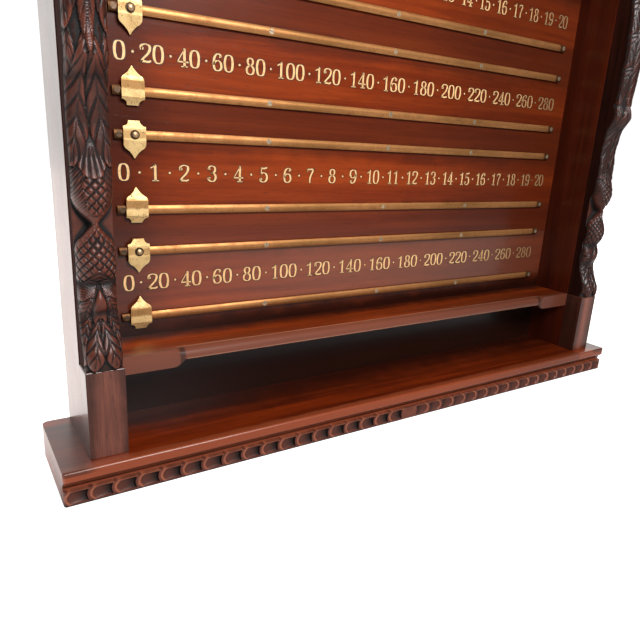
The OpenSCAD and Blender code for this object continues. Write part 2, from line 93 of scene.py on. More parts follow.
class Grain(Enum):
    """The way that a board's grain runs: along the board, front to back, or upright."""

    ALONG = 0
    DEEP = 1
    UPRIGHT = 2

    def stretch(self, across: float) -> tuple[float, float, float]:
        """Gives the pattern's scale on each axis: 1 along the grain, and `across` on the rest."""
        return tuple(1.0 if k == self.value else across for k in range(3))


class Side(Enum):
    """The board's two ends, with the sign of X there."""

    LEFT = -1
    RIGHT = 1


class Count(Enum):
    """The two kinds of number row: single points, and points by the score."""

    ONES = 1
    TWENTIES = 20


# Node helpers


class Bench:
    """Puts nodes and links into one node tree."""

    def __init__(self, tree: bpy.types.NodeTree) -> None:
        """Takes the node tree to work on."""
        self.tree = tree

    def feed(self, node: bpy.types.Node, feeds: dict) -> None:
        """Links or sets a node's inputs.

        Args:
            node: The node.
            feeds: Input name or index, with the value or the socket that feeds it.
        """
        for key, value in feeds.items():
            if isinstance(value, bpy.types.NodeSocket):
                self.tree.links.new(value, node.inputs[key])
            else:
                node.inputs[key].default_value = value

    def put(self, kind: str, feeds: dict | None = None, **settings: object) -> bpy.types.Node:
        """Adds a node.

        Args:
            kind: The node's type name.
            feeds: Input name or index, with the value or the socket that feeds it.
            **settings: Properties of the node.

        Returns:
            The new node.
        """
        node = self.tree.nodes.new(kind)
        for key, value in settings.items():
            setattr(node, key, value)
        self.feed(node, feeds or {})
        return node

    def math(self, kind: str, *terms: object, clamp: bool = False) -> bpy.types.NodeSocket:
        """Adds a Math node and gives its value."""
        feeds = dict(enumerate(terms))
        return self.put("ShaderNodeMath", feeds, operation=kind, use_clamp=clamp).outputs[0]

    def vector_math(self, kind: str, feeds: dict) -> bpy.types.NodeSocket:
        """Adds a Vector Math node and gives its vector."""
        return self.put("ShaderNodeVectorMath", feeds, operation=kind).outputs[0]

    def part(self, value: object, share: float, base: object = None) -> bpy.types.NodeSocket:
        """Takes a share of a value, and adds it to the base where there is one."""
        scaled = self.math("MULTIPLY", value, share)
        return scaled if base is None else self.math("ADD", scaled, base)

    def swing(self, value: object, reach: object) -> bpy.types.NodeSocket:
        """Turns a value about a half into one about zero, times the reach."""
        return self.math("MULTIPLY", self.math("SUBTRACT", value, 0.5), reach)

    def mix(self, factor: object, low: object, high: object) -> bpy.types.NodeSocket:
        """Blends two colours; the factor is how much of the second is taken."""
        feeds = {0: factor, 6: low, 7: high}
        return self.put("ShaderNodeMix", feeds, data_type="RGBA", blend_type="MIX").outputs[2]

    def spread(self, value: object, low: float, high: float, to_low: float = 0.0,
               to_high: float = 1.0) -> bpy.types.NodeSocket:
        """Maps a value smoothly from one range, which may run down, to another."""
        feeds = {0: value, 1: low, 2: high, 3: to_low, 4: to_high}
        return self.put("ShaderNodeMapRange", feeds, interpolation_type="SMOOTHSTEP").outputs[0]

    def noise(self, vector: object, scale: float, detail: float = 3.0, rough: float = 0.55,
              **feeds: object) -> bpy.types.Node:
        """Adds a noise texture, where `rough` is the weight of its detail."""
        made = {"Vector": vector, "Scale": scale, "Detail": detail, "Roughness": rough}
        return self.put("ShaderNodeTexNoise", made | feeds)


@dataclass(frozen=True)
class Effect:
    """A shader node group that several finishes share."""

    name: str
    inputs: tuple[tuple[str, str, float], ...]
    outputs: tuple[str, ...]
    lay: Callable[[Bench, bpy.types.Node, bpy.types.Node], None]

    def group(self) -> bpy.types.NodeTree:
        """Builds the group the first time that it is asked for.

        Returns:
            The group.
        """
        found = bpy.data.node_groups.get(self.name)
        if found:
            return found
        tree = bpy.data.node_groups.new(self.name, "ShaderNodeTree")
        for title, kind, value in self.inputs:
            socket = tree.interface.new_socket(name=title, in_out="INPUT", socket_type=kind)
            if kind == "NodeSocketFloat":
                socket.default_value = value
        for title in self.outputs:
            tree.interface.new_socket(name=title, in_out="OUTPUT", socket_type="NodeSocketFloat")
        bench = Bench(tree)
        self.lay(bench, bench.put("NodeGroupInput"), bench.put("NodeGroupOutput"))
        return tree

    def place(self, bench: Bench, **feeds: object) -> dict[str, bpy.types.NodeSocket]:
        """Places the group in a material and gives its outputs by name."""
        node = bench.put("ShaderNodeGroup", feeds, node_tree=self.group())
        return {title: node.outputs[title] for title in self.outputs}


def lay_figure(bench: Bench, given: bpy.types.Node, made: bpy.types.Node) -> None:
    """Lays the wood's figure: broad warped bands, fine streaks and short dark pores.

    Args:
        bench: The group's bench.
        given: The group's input node.
        made: The group's output node.
    """
    vector, ribbon = given.outputs["Vector"], given.outputs["Ribbon"]
    sway = bench.noise(vector, 0.9, 2.0).outputs["Color"]
    sway = bench.vector_math("SUBTRACT", {0: sway, 1: (0.5, 0.5, 0.5)})
    sway = bench.vector_math("SCALE", {0: sway, 3: 1.1})
    warped = bench.vector_math("ADD", {0: vector, 1: sway})
    broad = bench.noise(warped, 1.1, 3.0, 0.5).outputs[0]
    fine = bench.noise(warped, 7.5, 4.0, 0.66).outputs[0]
    pores = bench.noise(vector, 38.0, 2.0, 0.6).outputs[0]
    band = bench.noise(vector, 2.6, 1.0, 0.4, Distortion=0.6).outputs[0]
    banded = bench.math("ADD", broad, bench.swing(band, ribbon))
    bench.feed(made, {"Figure": bench.spread(banded, 0.25, 0.75), "Streak": bench.spread(fine, 0.3, 0.7),
                      "Pore": bench.spread(pores, 0.60, 0.70)})


def lay_handling(bench: Bench, given: bpy.types.Node, made: bpy.types.Node) -> None:
    """Lays what use leaves on a polished face: cloudy polish, worn spots and fine dents.

    Args:
        bench: The group's bench.
        given: The group's input node.
        made: The group's output node.
    """
    vector, amount = given.outputs["Vector"], given.outputs["Amount"]
    cloud = bench.noise(vector, 6.0, 4.0, 0.6).outputs[0]
    spots = bench.put("ShaderNodeTexVoronoi", {"Vector": vector, "Scale": 38.0, "Randomness": 1.0})
    chosen = bench.noise(vector, 21.0, 1.0).outputs[0]
    dent = bench.math("MULTIPLY", bench.spread(spots.outputs[0], 0.16, 0.05),
                      bench.spread(chosen, 0.62, 0.70))
    bench.feed(made, {"Cloud": bench.math("MULTIPLY", bench.spread(cloud, 0.35, 0.7), amount),
                      "Dent": bench.math("MULTIPLY", dent, amount)})


def lay_tarnish(bench: Bench, given: bpy.types.Node, made: bpy.types.Node) -> None:
    """Lays tarnish on brass: clouded stain, dark speckle and fine scratches.

    Args:
        bench: The group's bench.
        given: The group's input node.
        made: The group's output node.
    """
    vector = given.outputs["Vector"]
    stain = bench.noise(vector, 55.0, 5.0, 0.65).outputs[0]
    fleck = bench.noise(vector, 620.0, 3.0, 0.7).outputs[0]
    where = bench.noise(vector, 90.0, 2.0).outputs[0]
    drawn = bench.put("ShaderNodeMapping", {"Vector": vector, "Scale": (30.0, 1500.0, 1500.0)})
    scratch = bench.noise(drawn.outputs[0], 1.0, 2.0, 0.6).outputs[0]
    speckle = bench.math("MULTIPLY", bench.spread(fleck, 0.52, 0.66), bench.spread(where, 0.40, 0.62))
    bench.feed(made, {"Stain": bench.spread(stain, 0.38, 0.68), "Scratch": scratch,
                      "Speckle": bench.math("MULTIPLY", speckle, given.outputs["Fleck"])})


VECTOR = ("Vector", "NodeSocketVector", 0.0)
FIGURE = Effect("wood_figure", (VECTOR, ("Ribbon", "NodeSocketFloat", 0.6)),
                ("Figure", "Streak", "Pore"), lay_figure)
HANDLING = Effect("handling_marks", (VECTOR, ("Amount", "NodeSocketFloat", 1.0)),
                  ("Cloud", "Dent"), lay_handling)
TARNISH = Effect("brass_tarnish", (VECTOR, ("Fleck", "NodeSocketFloat", 1.0)),
                 ("Stain", "Speckle", "Scratch"), lay_tarnish)


def start_material(name: str) -> tuple[bpy.types.Material, Bench, bpy.types.Node, bpy.types.NodeSocket]:
    """Starts a material with a Principled shader and Object coordinates.

    Args:
        name: The material's name.

    Returns:
        The material, its bench, the shader node, and the Object coordinates socket.
    """
    material = bpy.data.materials.new(name)
    material.use_nodes = True
    material.node_tree.nodes.clear()
    bench = Bench(material.node_tree)
    shader = bench.put("ShaderNodeBsdfPrincipled")
    bench.put("ShaderNodeOutputMaterial", {"Surface": shader.outputs[0]})
    place = bench.put("ShaderNodeTexCoord").outputs["Object"]
    return material, bench, shader, place


# Finishes


@dataclass(frozen=True)
class Shade:
    """A change of tone along one axis, such as a painted shade where a place is out of the light, a painted
    highlight along an edge, or grime.

    The tone starts at `start`, is full at `end`, and both are measured from `centre`, or from the
    nearest repeat of it where there is a `pitch`. A `gate` keeps it between two places on an axis.
    """

    axis: str
    start: float
    end: float
    amount: float
    colour: str = "#0c0302"
    centre: float = 0.0
    pitch: float = 0.0
    gate: tuple[str, float, float] | None = None

    def lay(self, bench: Bench, place: bpy.types.NodeSocket,
            colour: bpy.types.NodeSocket) -> bpy.types.NodeSocket:
        """Lays the shade over a colour.

        Args:
            bench: The material's bench.
            place: The Object coordinates.
            colour: The colour so far.

        Returns:
            The colour with the shade on it.
        """
        split = bench.put("ShaderNodeSeparateXYZ", {0: place}).outputs
        way = bench.math("SUBTRACT", split[self.axis], self.centre * MM)
        if self.pitch:
            way = bench.math("PINGPONG", way, self.pitch / 2 * MM)
        wander = min(abs(self.end - self.start), SHADE_WANDER) * MM
        way = bench.math("ADD", way, bench.swing(bench.noise(place, 30.0, 3.0).outputs[0], wander))
        mask = bench.spread(way, self.start * MM, self.end * MM, 0.0, self.amount)
        mask = bench.math("MULTIPLY", mask, bench.math("LESS_THAN", split["Y"], SHADE_BACK * MM))
        if self.gate:
            axis, low, high = self.gate
            above = bench.math("GREATER_THAN", split[axis], low * MM)
            below = bench.math("LESS_THAN", split[axis], high * MM)
            mask = bench.math("MULTIPLY", mask, bench.math("MULTIPLY", above, below))
        return bench.mix(mask, colour, tint(self.colour))


@dataclass(frozen=True)
class Finish:
    """What every finish has: a name and the shades that lie over its colour."""

    name: str
    shades: tuple[Shade, ...] = field(default=(), kw_only=True)

    def end(self, bench: Bench, shader: bpy.types.Node, place: bpy.types.NodeSocket,
            feeds: dict, bump: tuple[bpy.types.NodeSocket, float, float] | None = None) -> None:
        """Lays the shades over the colour and feeds the shader.

        Args:
            bench: The material's bench.
            shader: The Principled shader.
            place: The Object coordinates.
            feeds: The shader's input names, with the socket or constant that each one takes.
            bump: The bump's height, strength and distance in metres, or None for a smooth face.
        """
        for shade in self.shades:
            feeds["Base Color"] = shade.lay(bench, place, feeds["Base Color"])
        if bump:
            height, strength, distance = bump
            bumped = bench.put("ShaderNodeBump",
                               {"Height": height, "Strength": strength, "Distance": distance})
            feeds["Normal"] = bumped.outputs[0]
        bench.feed(shader, feeds)


@dataclass(frozen=True)
class Wood(Finish):
    """A polished mahogany board: its colours, its grain and its gloss."""

    pale: str
    dark: str
    grain: Grain = Grain.ALONG
    shift: float = 0.0
    across: float = 24.0
    roughness: float = 0.3
    coat: float = 0.55
    coat_roughness: float = 0.2
    specular: float = 0.15
    wear: float = 0.6

    def material(self) -> bpy.types.Material:
        """Builds the board's material, with its own stretch of grain.

        Returns:
            The material.
        """
        material, bench, shader, place = start_material(self.name)
        feeds = {"Vector": place, "Location": (self.shift, self.shift * 1.7, self.shift * 2.3),
                 "Scale": self.grain.stretch(self.across)}
        grain = bench.put("ShaderNodeMapping", feeds).outputs[0]
        figure = FIGURE.place(bench, Vector=grain, Ribbon=0.7)
        marks = HANDLING.place(bench, Vector=place, Amount=self.wear)
        tone = bench.part(figure["Figure"], 0.6, bench.part(figure["Streak"], 0.4))
        colour = bench.mix(tone, tint(self.dark), tint(self.pale))
        colour = bench.mix(bench.part(figure["Pore"], 0.45), colour, tint(PORE_COLOUR))
        colour = bench.mix(bench.part(marks["Dent"], 0.5), colour, tint(DENT_COLOUR))
        height = bench.part(figure["Pore"], -1.0, bench.part(marks["Dent"], -3.0))
        self.end(bench, shader, place, {
            "Base Color": colour, "Roughness": bench.part(marks["Cloud"], 0.12, self.roughness),
            "Specular IOR Level": self.specular, "Coat Weight": self.coat,
            "Coat Roughness": self.coat_roughness}, (height, 0.35, 0.00012))
        return material


@dataclass(frozen=True)
class CarvedWood(Finish):
    """Stained and polished carving: near black in the cuts as painted shade, worn redder on the ridges."""

    ridge: str
    face: str
    cut: str
    grain: Grain = Grain.UPRIGHT
    roughness: float = 0.42

    def material(self) -> bpy.types.Material:
        """Builds the carving's material from the relief, or the strip's painted light, kept on its points.

        Returns:
            The material.
        """
        material, bench, shader, place = start_material(self.name)
        relief = bench.put("ShaderNodeAttribute", None, attribute_name="carve").outputs["Fac"]
        feeds = {"Vector": place, "Scale": self.grain.stretch(9.0)}
        grain = bench.put("ShaderNodeMapping", feeds).outputs[0]
        figure = FIGURE.place(bench, Vector=grain, Ribbon=0.4)
        marks = HANDLING.place(bench, Vector=place, Amount=1.0)
        level = bench.math("ADD", relief, bench.swing(bench.noise(place, 70.0, 3.0).outputs[0], 0.8))
        colour = bench.mix(bench.spread(level, -0.05, 0.75), tint(self.face), tint(self.ridge))
        colour = bench.mix(bench.part(figure["Streak"], 0.35), colour, tint(self.face))
        # The cuts go near black: a painted shade
        colour = bench.mix(bench.spread(relief, 0.0, -0.55), colour, tint(self.cut))
        rough = bench.part(marks["Cloud"], 0.15, self.roughness)
        rough = bench.math("ADD", rough, bench.spread(relief, 0.0, -0.6, 0.0, 0.35))
        tools = bench.noise(place, 260.0, 2.0).outputs[0]
        self.end(bench, shader, place, {"Base Color": colour, "Roughness": rough,
                                        "Specular IOR Level": 0.4}, (tools, 0.25, 0.0004))
        return material


@dataclass(frozen=True)
class Brass(Finish):
    """Lacquered brass, tarnished in clouds, with a painted dark reflection in a band about one height."""

    bright: str
    dull: str
    middle: float = 0.0
    reach: float = 0.0
    band: float = 0.0
    fleck: float = 1.0
    roughness: float = 0.3
    metallic: float = 0.9

    def material(self) -> bpy.types.Material:
        """Builds the brass, with the painted reflection band centred on its height by a Mapping node.

        Returns:
            The material.
        """
        material, bench, shader, place = start_material(self.name)
        moved = (self.middle * 0.6 * MM, 0, -self.middle * MM)
        centred = bench.put("ShaderNodeMapping", {"Vector": place, "Location": moved}).outputs[0]
        tarnish = TARNISH.place(bench, Vector=centred, Fleck=self.fleck)
        height = bench.put("ShaderNodeSeparateXYZ", {0: centred}).outputs["Z"]
        uneven = bench.swing(bench.noise(centred, 160.0, 3.0).outputs[0], 0.006)
        off = bench.math("ABSOLUTE", bench.math("ADD", height, uneven))
        reach = max(self.reach, 0.01) * MM
        # The band is a painted dark reflection where a pointer's plate bends; the stain is tarnish
        band = bench.part(bench.spread(off, reach, reach * 0.55), self.band)
        dulled = bench.math("MAXIMUM", bench.part(tarnish["Stain"], 0.35), band, clamp=True)
        colour = bench.mix(dulled, tint(self.bright), tint(self.dull))
        colour = bench.mix(tarnish["Speckle"], colour, tint(SPECKLE_COLOUR))
        rough = bench.part(tarnish["Speckle"], 0.2, bench.part(tarnish["Stain"], 0.14, self.roughness))
        self.end(bench, shader, place, {"Base Color": colour, "Roughness": rough,
                                        "Metallic": self.metallic}, (tarnish["Scratch"], 0.2, 0.00003))
        return material


@dataclass(frozen=True)
class Paint(Finish):
    """Paint or leaf laid on the panel, slightly uneven in colour and gloss."""

    colour: str
    worn: str
    roughness: float = 0.4
    metallic: float = 0.0

    def material(self) -> bpy.types.Material:
        """Builds the paint.

        Returns:
            The material.
        """
        material, bench, shader, place = start_material(self.name)
        cloud = bench.noise(place, 240.0, 4.0, 0.65).outputs[0]
        marks = HANDLING.place(bench, Vector=place, Amount=1.0)
        colour = bench.mix(bench.spread(cloud, 0.45, 0.75), tint(self.colour), tint(self.worn))
        rough = bench.part(marks["Cloud"], 0.15, self.roughness)
        self.end(bench, shader, place, {"Base Color": colour, "Roughness": rough,
                                        "Metallic": self.metallic})
        return material


# Shades of the boards, carvings and gold, most of them painted light and shade; places are in millimetres
# Darker bands between the number rows: painted shade under and over the rails, with grime along them
RAIL_SHADE_AND_GRIME = Shade("Z", 26.0, 46.0, 0.52, "#33170e", BASE_TOP + 183.0, 145.8)
# The gold of the numbers darkens towards the right end of the rows
GOLD_DARKER_TO_RIGHT = Shade("X", 150.0, 430.0, 0.75, "#5a3418")
# Painted shade: the panel darkens to the right, where the light falls off
PANEL_FAR_SHADE = Shade("X", -60.0, 300.0, 0.6, "#2e0d04")
# Painted shade on the panel under the shelf, inside the compartment in the shelf's shadow
UNDER_SHELF_SHADE = Shade("Z", 150.0, 128.0, 0.9, "#1d0b06")
# Painted shadow of the shelf on the panel just above it
ABOVE_SHELF_SHADOW = Shade("Z", 200.0, 166.0, 0.85)
# Painted sheen: a greyish reflection of the floor laid over the lowest row, strongest near its middle
LOW_ROW_PAINTED_SHEEN = Shade("X", 600.0, 100.0, 0.4, "#6a4e42", 60.0, 4000.0, ("Z", 188.5, 279.3))
# Painted shade on the panel near the left side board
NEAR_SIDE_SHADE = Shade("X", -330.0, -430.0, 0.72, "#2e0d04")
MOULDED_EDGE = Shade("Y", -59.0, -67.0, 0.85, "#8e4427")
# Painted shade of two grooves on the base's cove, with a bead between them
UPPER_GROOVE_SHADE = Shade("Z", 2.8, 0.8, 0.85, "#1c0b06", 30.6, 400.0)
LOWER_GROOVE_SHADE = Shade("Z", 2.4, 0.6, 0.85, "#1c0b06", 23.4, 400.0)
# Painted shadow of the shelf on the base's top, darker towards the back
BASE_TROUGH_SHADOW = Shade("Y", -45.0, 45.0, 0.85, "#140401", gate=("X", -454.0, 454.0))
# Painted shade: the base's top darkens to the right, where the light falls off
BASE_FAR_SHADE = Shade("X", 60.0, 420.0, 0.35, "#1a0600", gate=("X", -454.0, 454.0))
BASE_ENDS = Shade("X", 488.0, 512.0, 0.6, "#24150f", pitch=4000.0, gate=("Z", 40.0, 60.0))
SHELF_EDGE = Shade("Y", -10.0, -16.0, 0.85, "#6f4233")
# Painted shadow at each stop of the shelf's moulding
SHELF_STOP_SHADOW = Shade("X", 5.5, 2.0, 0.75, "#2a1d17", 369.0, 738.0, ("Y", -24.0, -12.0))
# Painted highlights along the top and the lower edge of the shelf's moulding
SHELF_ARRIS_HIGHLIGHT = Shade("Y", 1.7, 0.5, 0.5, "#d09a7c", -12.8, 400.0, ("X", -374.0, 374.0))
SHELF_LOWER_ARRIS_HIGHLIGHT = Shade("Z", 1.5, 0.4, 0.5, "#b07a60", 145.4, 400.0, ("X", -363.0, 363.0))
# Painted shade: the shelf darkens to the right, where the light falls off
SHELF_FAR_SHADE = Shade("X", -150.0, 420.0, 0.4, "#2a0c02")
# Painted shadow at the back of the shelf's top, next to the panel
SHELF_BACK_SHADOW = Shade("Y", 20.0, 52.0, 0.8, "#160502")
BLOCK_EDGES = Shade("X", 6.0, 23.0, 0.75, "#2b120b", 477.0, 954.0)
# Painted shade: the carvings darken to the right, where the light falls off
CARVING_FAR_SHADE = Shade("X", 0.0, 450.0, 0.5, "#150906")

# The finishes themselves
BASE_WOOD = Wood("mahogany_base", "#8a300b", "#4b1504", shift=0.3, coat=0.5, coat_roughness=0.3, wear=0.3,
                 shades=(MOULDED_EDGE, UPPER_GROOVE_SHADE, LOWER_GROOVE_SHADE, BASE_TROUGH_SHADOW, BASE_FAR_SHADE, BASE_ENDS))
CARVED_STRIP = CarvedWood("carved_strip", ridge="#9c583e", face="#57291c", cut="#1b0c08", grain=Grain.ALONG)
PILASTER_WOOD = CarvedWood("carved_pilasters", ridge="#673324", face="#2d150f", cut="#080403", roughness=0.33,
                           shades=(CARVING_FAR_SHADE,))
PANEL_WOOD = Wood("mahogany_panel", "#953c14", "#6b240a", shift=1.4,
                  shades=(RAIL_SHADE_AND_GRIME, PANEL_FAR_SHADE, NEAR_SIDE_SHADE, LOW_ROW_PAINTED_SHEEN, ABOVE_SHELF_SHADOW, UNDER_SHELF_SHADE))
SHELF_WOOD = Wood("mahogany_shelf", "#a23f0b", "#5c1d05", shift=2.1, coat=0.4, coat_roughness=0.36,
                  shades=(SHELF_EDGE, SHELF_STOP_SHADOW, SHELF_ARRIS_HIGHLIGHT, SHELF_LOWER_ARRIS_HIGHLIGHT, SHELF_BACK_SHADOW, SHELF_FAR_SHADE))
SIDE_WOOD = Wood("mahogany_sides", "#561d0b", "#330f05", Grain.UPRIGHT, 3.2)
BLOCK_WOOD = Wood("mahogany_blocks", "#8c5040", "#452820", Grain.UPRIGHT, 4.1, shades=(BLOCK_EDGES,))
# The pilasters' plain sides are dark and dull: painted shade between each pilaster and its side board
SHADED_FLANK_WOOD = Wood("mahogany_flanks", "#3a1810", "#1c0b06", Grain.UPRIGHT, 6.4, roughness=0.85, coat=0.0,
                  specular=0.05)
TOP_WOOD = Wood("mahogany_cornice", "#8c3817", "#591e0b", shift=5.3)
HIDDEN_WOOD = Wood("plain_batten_wood", "#a9784f", "#7d5535", shift=6.0, roughness=0.6, coat=0.0)
RAIL_BRASS = Brass("rail_brass", "#c58a55", "#8e5a34", fleck=0.5, roughness=0.44,
                   shades=(Shade("X", 60.0, 150.0, 0.35, "#7a5426", 30.0, 330.0),
                           Shade("X", 403.0, 412.0, 0.85, "#3a2212", pitch=2000.0)))
CLIP_BRASS = Brass("clip_brass", "#a5824a", "#6d4d22", fleck=0.8, roughness=0.4)
SCREW_STEEL = Brass("screw_steel", "#c9b498", "#6e5a45", fleck=0.8, roughness=0.42,
                    shades=(Shade("X", -385.0, -402.0, 0.85, "#4a3020"),))
GILDING = Paint("gold_numbers", "#f2c288", "#c98d50", 0.38, 0.1, shades=(GOLD_DARKER_TO_RIGHT,))
OUTLINE = Paint("number_outline", "#0a0302", "#1c0a05", 0.45)


# Mesh helpers


def stand(name: str, data: bpy.types.ID) -> bpy.types.Object:
    """Makes an object of a mesh, a light or a camera, and links it to the scene.

    Args:
        name: The object's name.
        data: What it shows.

    Returns:
        The object, at the origin.
    """
    made = bpy.data.objects.new(name, data)
    bpy.context.scene.collection.objects.link(made)
    return made


def mesh_object(name: str, points: np.ndarray, faces: list, finish: bpy.types.Material,
                smooth: bool = True) -> bpy.types.Object:
    """Makes an object at the origin from points in millimetres.

    Args:
        name: The piece's name.
        points: Rows of x, y and z.
        faces: Index lists, counted round the outside.
        finish: The piece's material.
        smooth: Whether its faces are shaded smooth.

    Returns:
        The object, linked to the scene.
    """
    mesh = bpy.data.meshes.new(name)
    mesh.from_pydata((np.asarray(points, float) * MM).tolist(), [], faces)
    mesh.validate()
    mesh.materials.append(finish)
    mesh.polygons.foreach_set("use_smooth", [smooth] * len(mesh.polygons))
    return stand(name, mesh)


def join_meshes(name: str, parts: list[bpy.types.Object]) -> bpy.types.Object:
    """Joins objects that lie at the origin into one piece.

    Args:
        name: The joined piece's name.
        parts: The objects, which are used up.

    Returns:
        The joined object.
    """
    with bpy.context.temp_override(active_object=parts[0], selected_editable_objects=parts,
                                   object=parts[0]):
        bpy.ops.object.join()
    parts[0].name = name
    parts[0].data.name = name
    return parts[0]


def merge_points(piece: bpy.types.Object) -> None:
    """Merges points of a piece that lie together, and turns its faces outwards.

    Args:
        piece: The piece.
    """
    work = bmesh.new()
    work.from_mesh(piece.data)
    bmesh.ops.remove_doubles(work, verts=work.verts, dist=MERGED * MM)
    bmesh.ops.recalc_face_normals(work, faces=work.faces)
    work.to_mesh(piece.data)
    work.free()


def keep_carve(piece: bpy.types.Object, values: np.ndarray) -> None:
    """Keeps the relief, -1 in the cuts to 1 on the ridges, or the strip's painted light, on the points."""
    kept = piece.data.attributes.new("carve", "FLOAT", "POINT")
    kept.data.foreach_set("value", np.asarray(values, np.float32).ravel())


def settle(piece: bpy.types.Object, body: str, slot: str, *nodes: str) -> bpy.types.Object:
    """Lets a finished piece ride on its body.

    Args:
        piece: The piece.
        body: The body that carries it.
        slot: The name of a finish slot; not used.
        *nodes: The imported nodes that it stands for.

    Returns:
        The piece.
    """
    if nodes:
        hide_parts(*nodes)
    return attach(piece, body)


def dress_node(node: str, finish: bpy.types.Material, ease: float = 0.0) -> None:
    """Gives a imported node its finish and, where asked, eased edges.

    Args:
        node: The node's name.
        finish: Its material.
        ease: Width of the eased edges in millimetres, or 0 for none.
    """
    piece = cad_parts[node]
    piece.data.materials.clear()
    piece.data.materials.append(finish)
    if ease:
        weld = piece.modifiers.new("weld", "WELD")
        weld.merge_threshold = MERGED * MM
        bevel = piece.modifiers.new("eased_edges", "BEVEL")
        bevel.width = ease * MM
        bevel.segments = 2
        bevel.limit_method = "ANGLE"
        bevel.angle_limit = math.radians(EASED_FROM)
        bevel.use_clamp_overlap = True


class Tree:
    """A Geometry Nodes tree with named inputs, run once on an empty mesh and kept as a plain mesh."""

    def __init__(self, name: str, inputs: dict[str, str]) -> None:
        """Starts the tree.

        Args:
            name: The tree's name.
            inputs: Input names with their socket types.
        """
        self.tree = bpy.data.node_groups.new(name, "GeometryNodeTree")
        face = self.tree.interface
        face.new_socket(name="Geometry", in_out="INPUT", socket_type="NodeSocketGeometry")
        self.keys = {title: face.new_socket(name=title, in_out="INPUT", socket_type=kind).identifier
                     for title, kind in inputs.items()}
        face.new_socket(name="Geometry", in_out="OUTPUT", socket_type="NodeSocketGeometry")
        self.bench = Bench(self.tree)
        self.given = self.bench.put("NodeGroupInput")

    def close(self, geometry: bpy.types.NodeSocket) -> None:
        """Ends the tree in Realize Instances and Set Material.

        Args:
            geometry: What the tree has made.
        """
        real = self.bench.put("GeometryNodeRealizeInstances", {"Geometry": geometry})
        feeds = {"Geometry": real.outputs[0], "Material": self.given.outputs["Material"]}
        dressed = self.bench.put("GeometryNodeSetMaterial", feeds)
        self.bench.put("NodeGroupOutput", {"Geometry": dressed.outputs[0]})

    def run(self, name: str, host: bpy.types.Mesh, **values: object) -> bpy.types.Object:
        """Runs the tree on a host mesh.

        Args:
            name: The name of the piece that comes out.
            host: The mesh that the modifier sits on.
            **values: The tree's inputs by name.

        Returns:
            A plain mesh object without the modifier.
        """
        holder = stand(name + "_host", host)
        modifier = holder.modifiers.new("tree", "NODES")
        modifier.node_group = self.tree
        for title, value in values.items():
            modifier[self.keys[title]] = value
        graph = bpy.context.evaluated_depsgraph_get()
        mesh = bpy.data.meshes.new_from_object(holder.evaluated_get(graph), depsgraph=graph)
        bpy.data.objects.remove(holder)
        mesh.name = name
        return stand(name, mesh)


# Studio


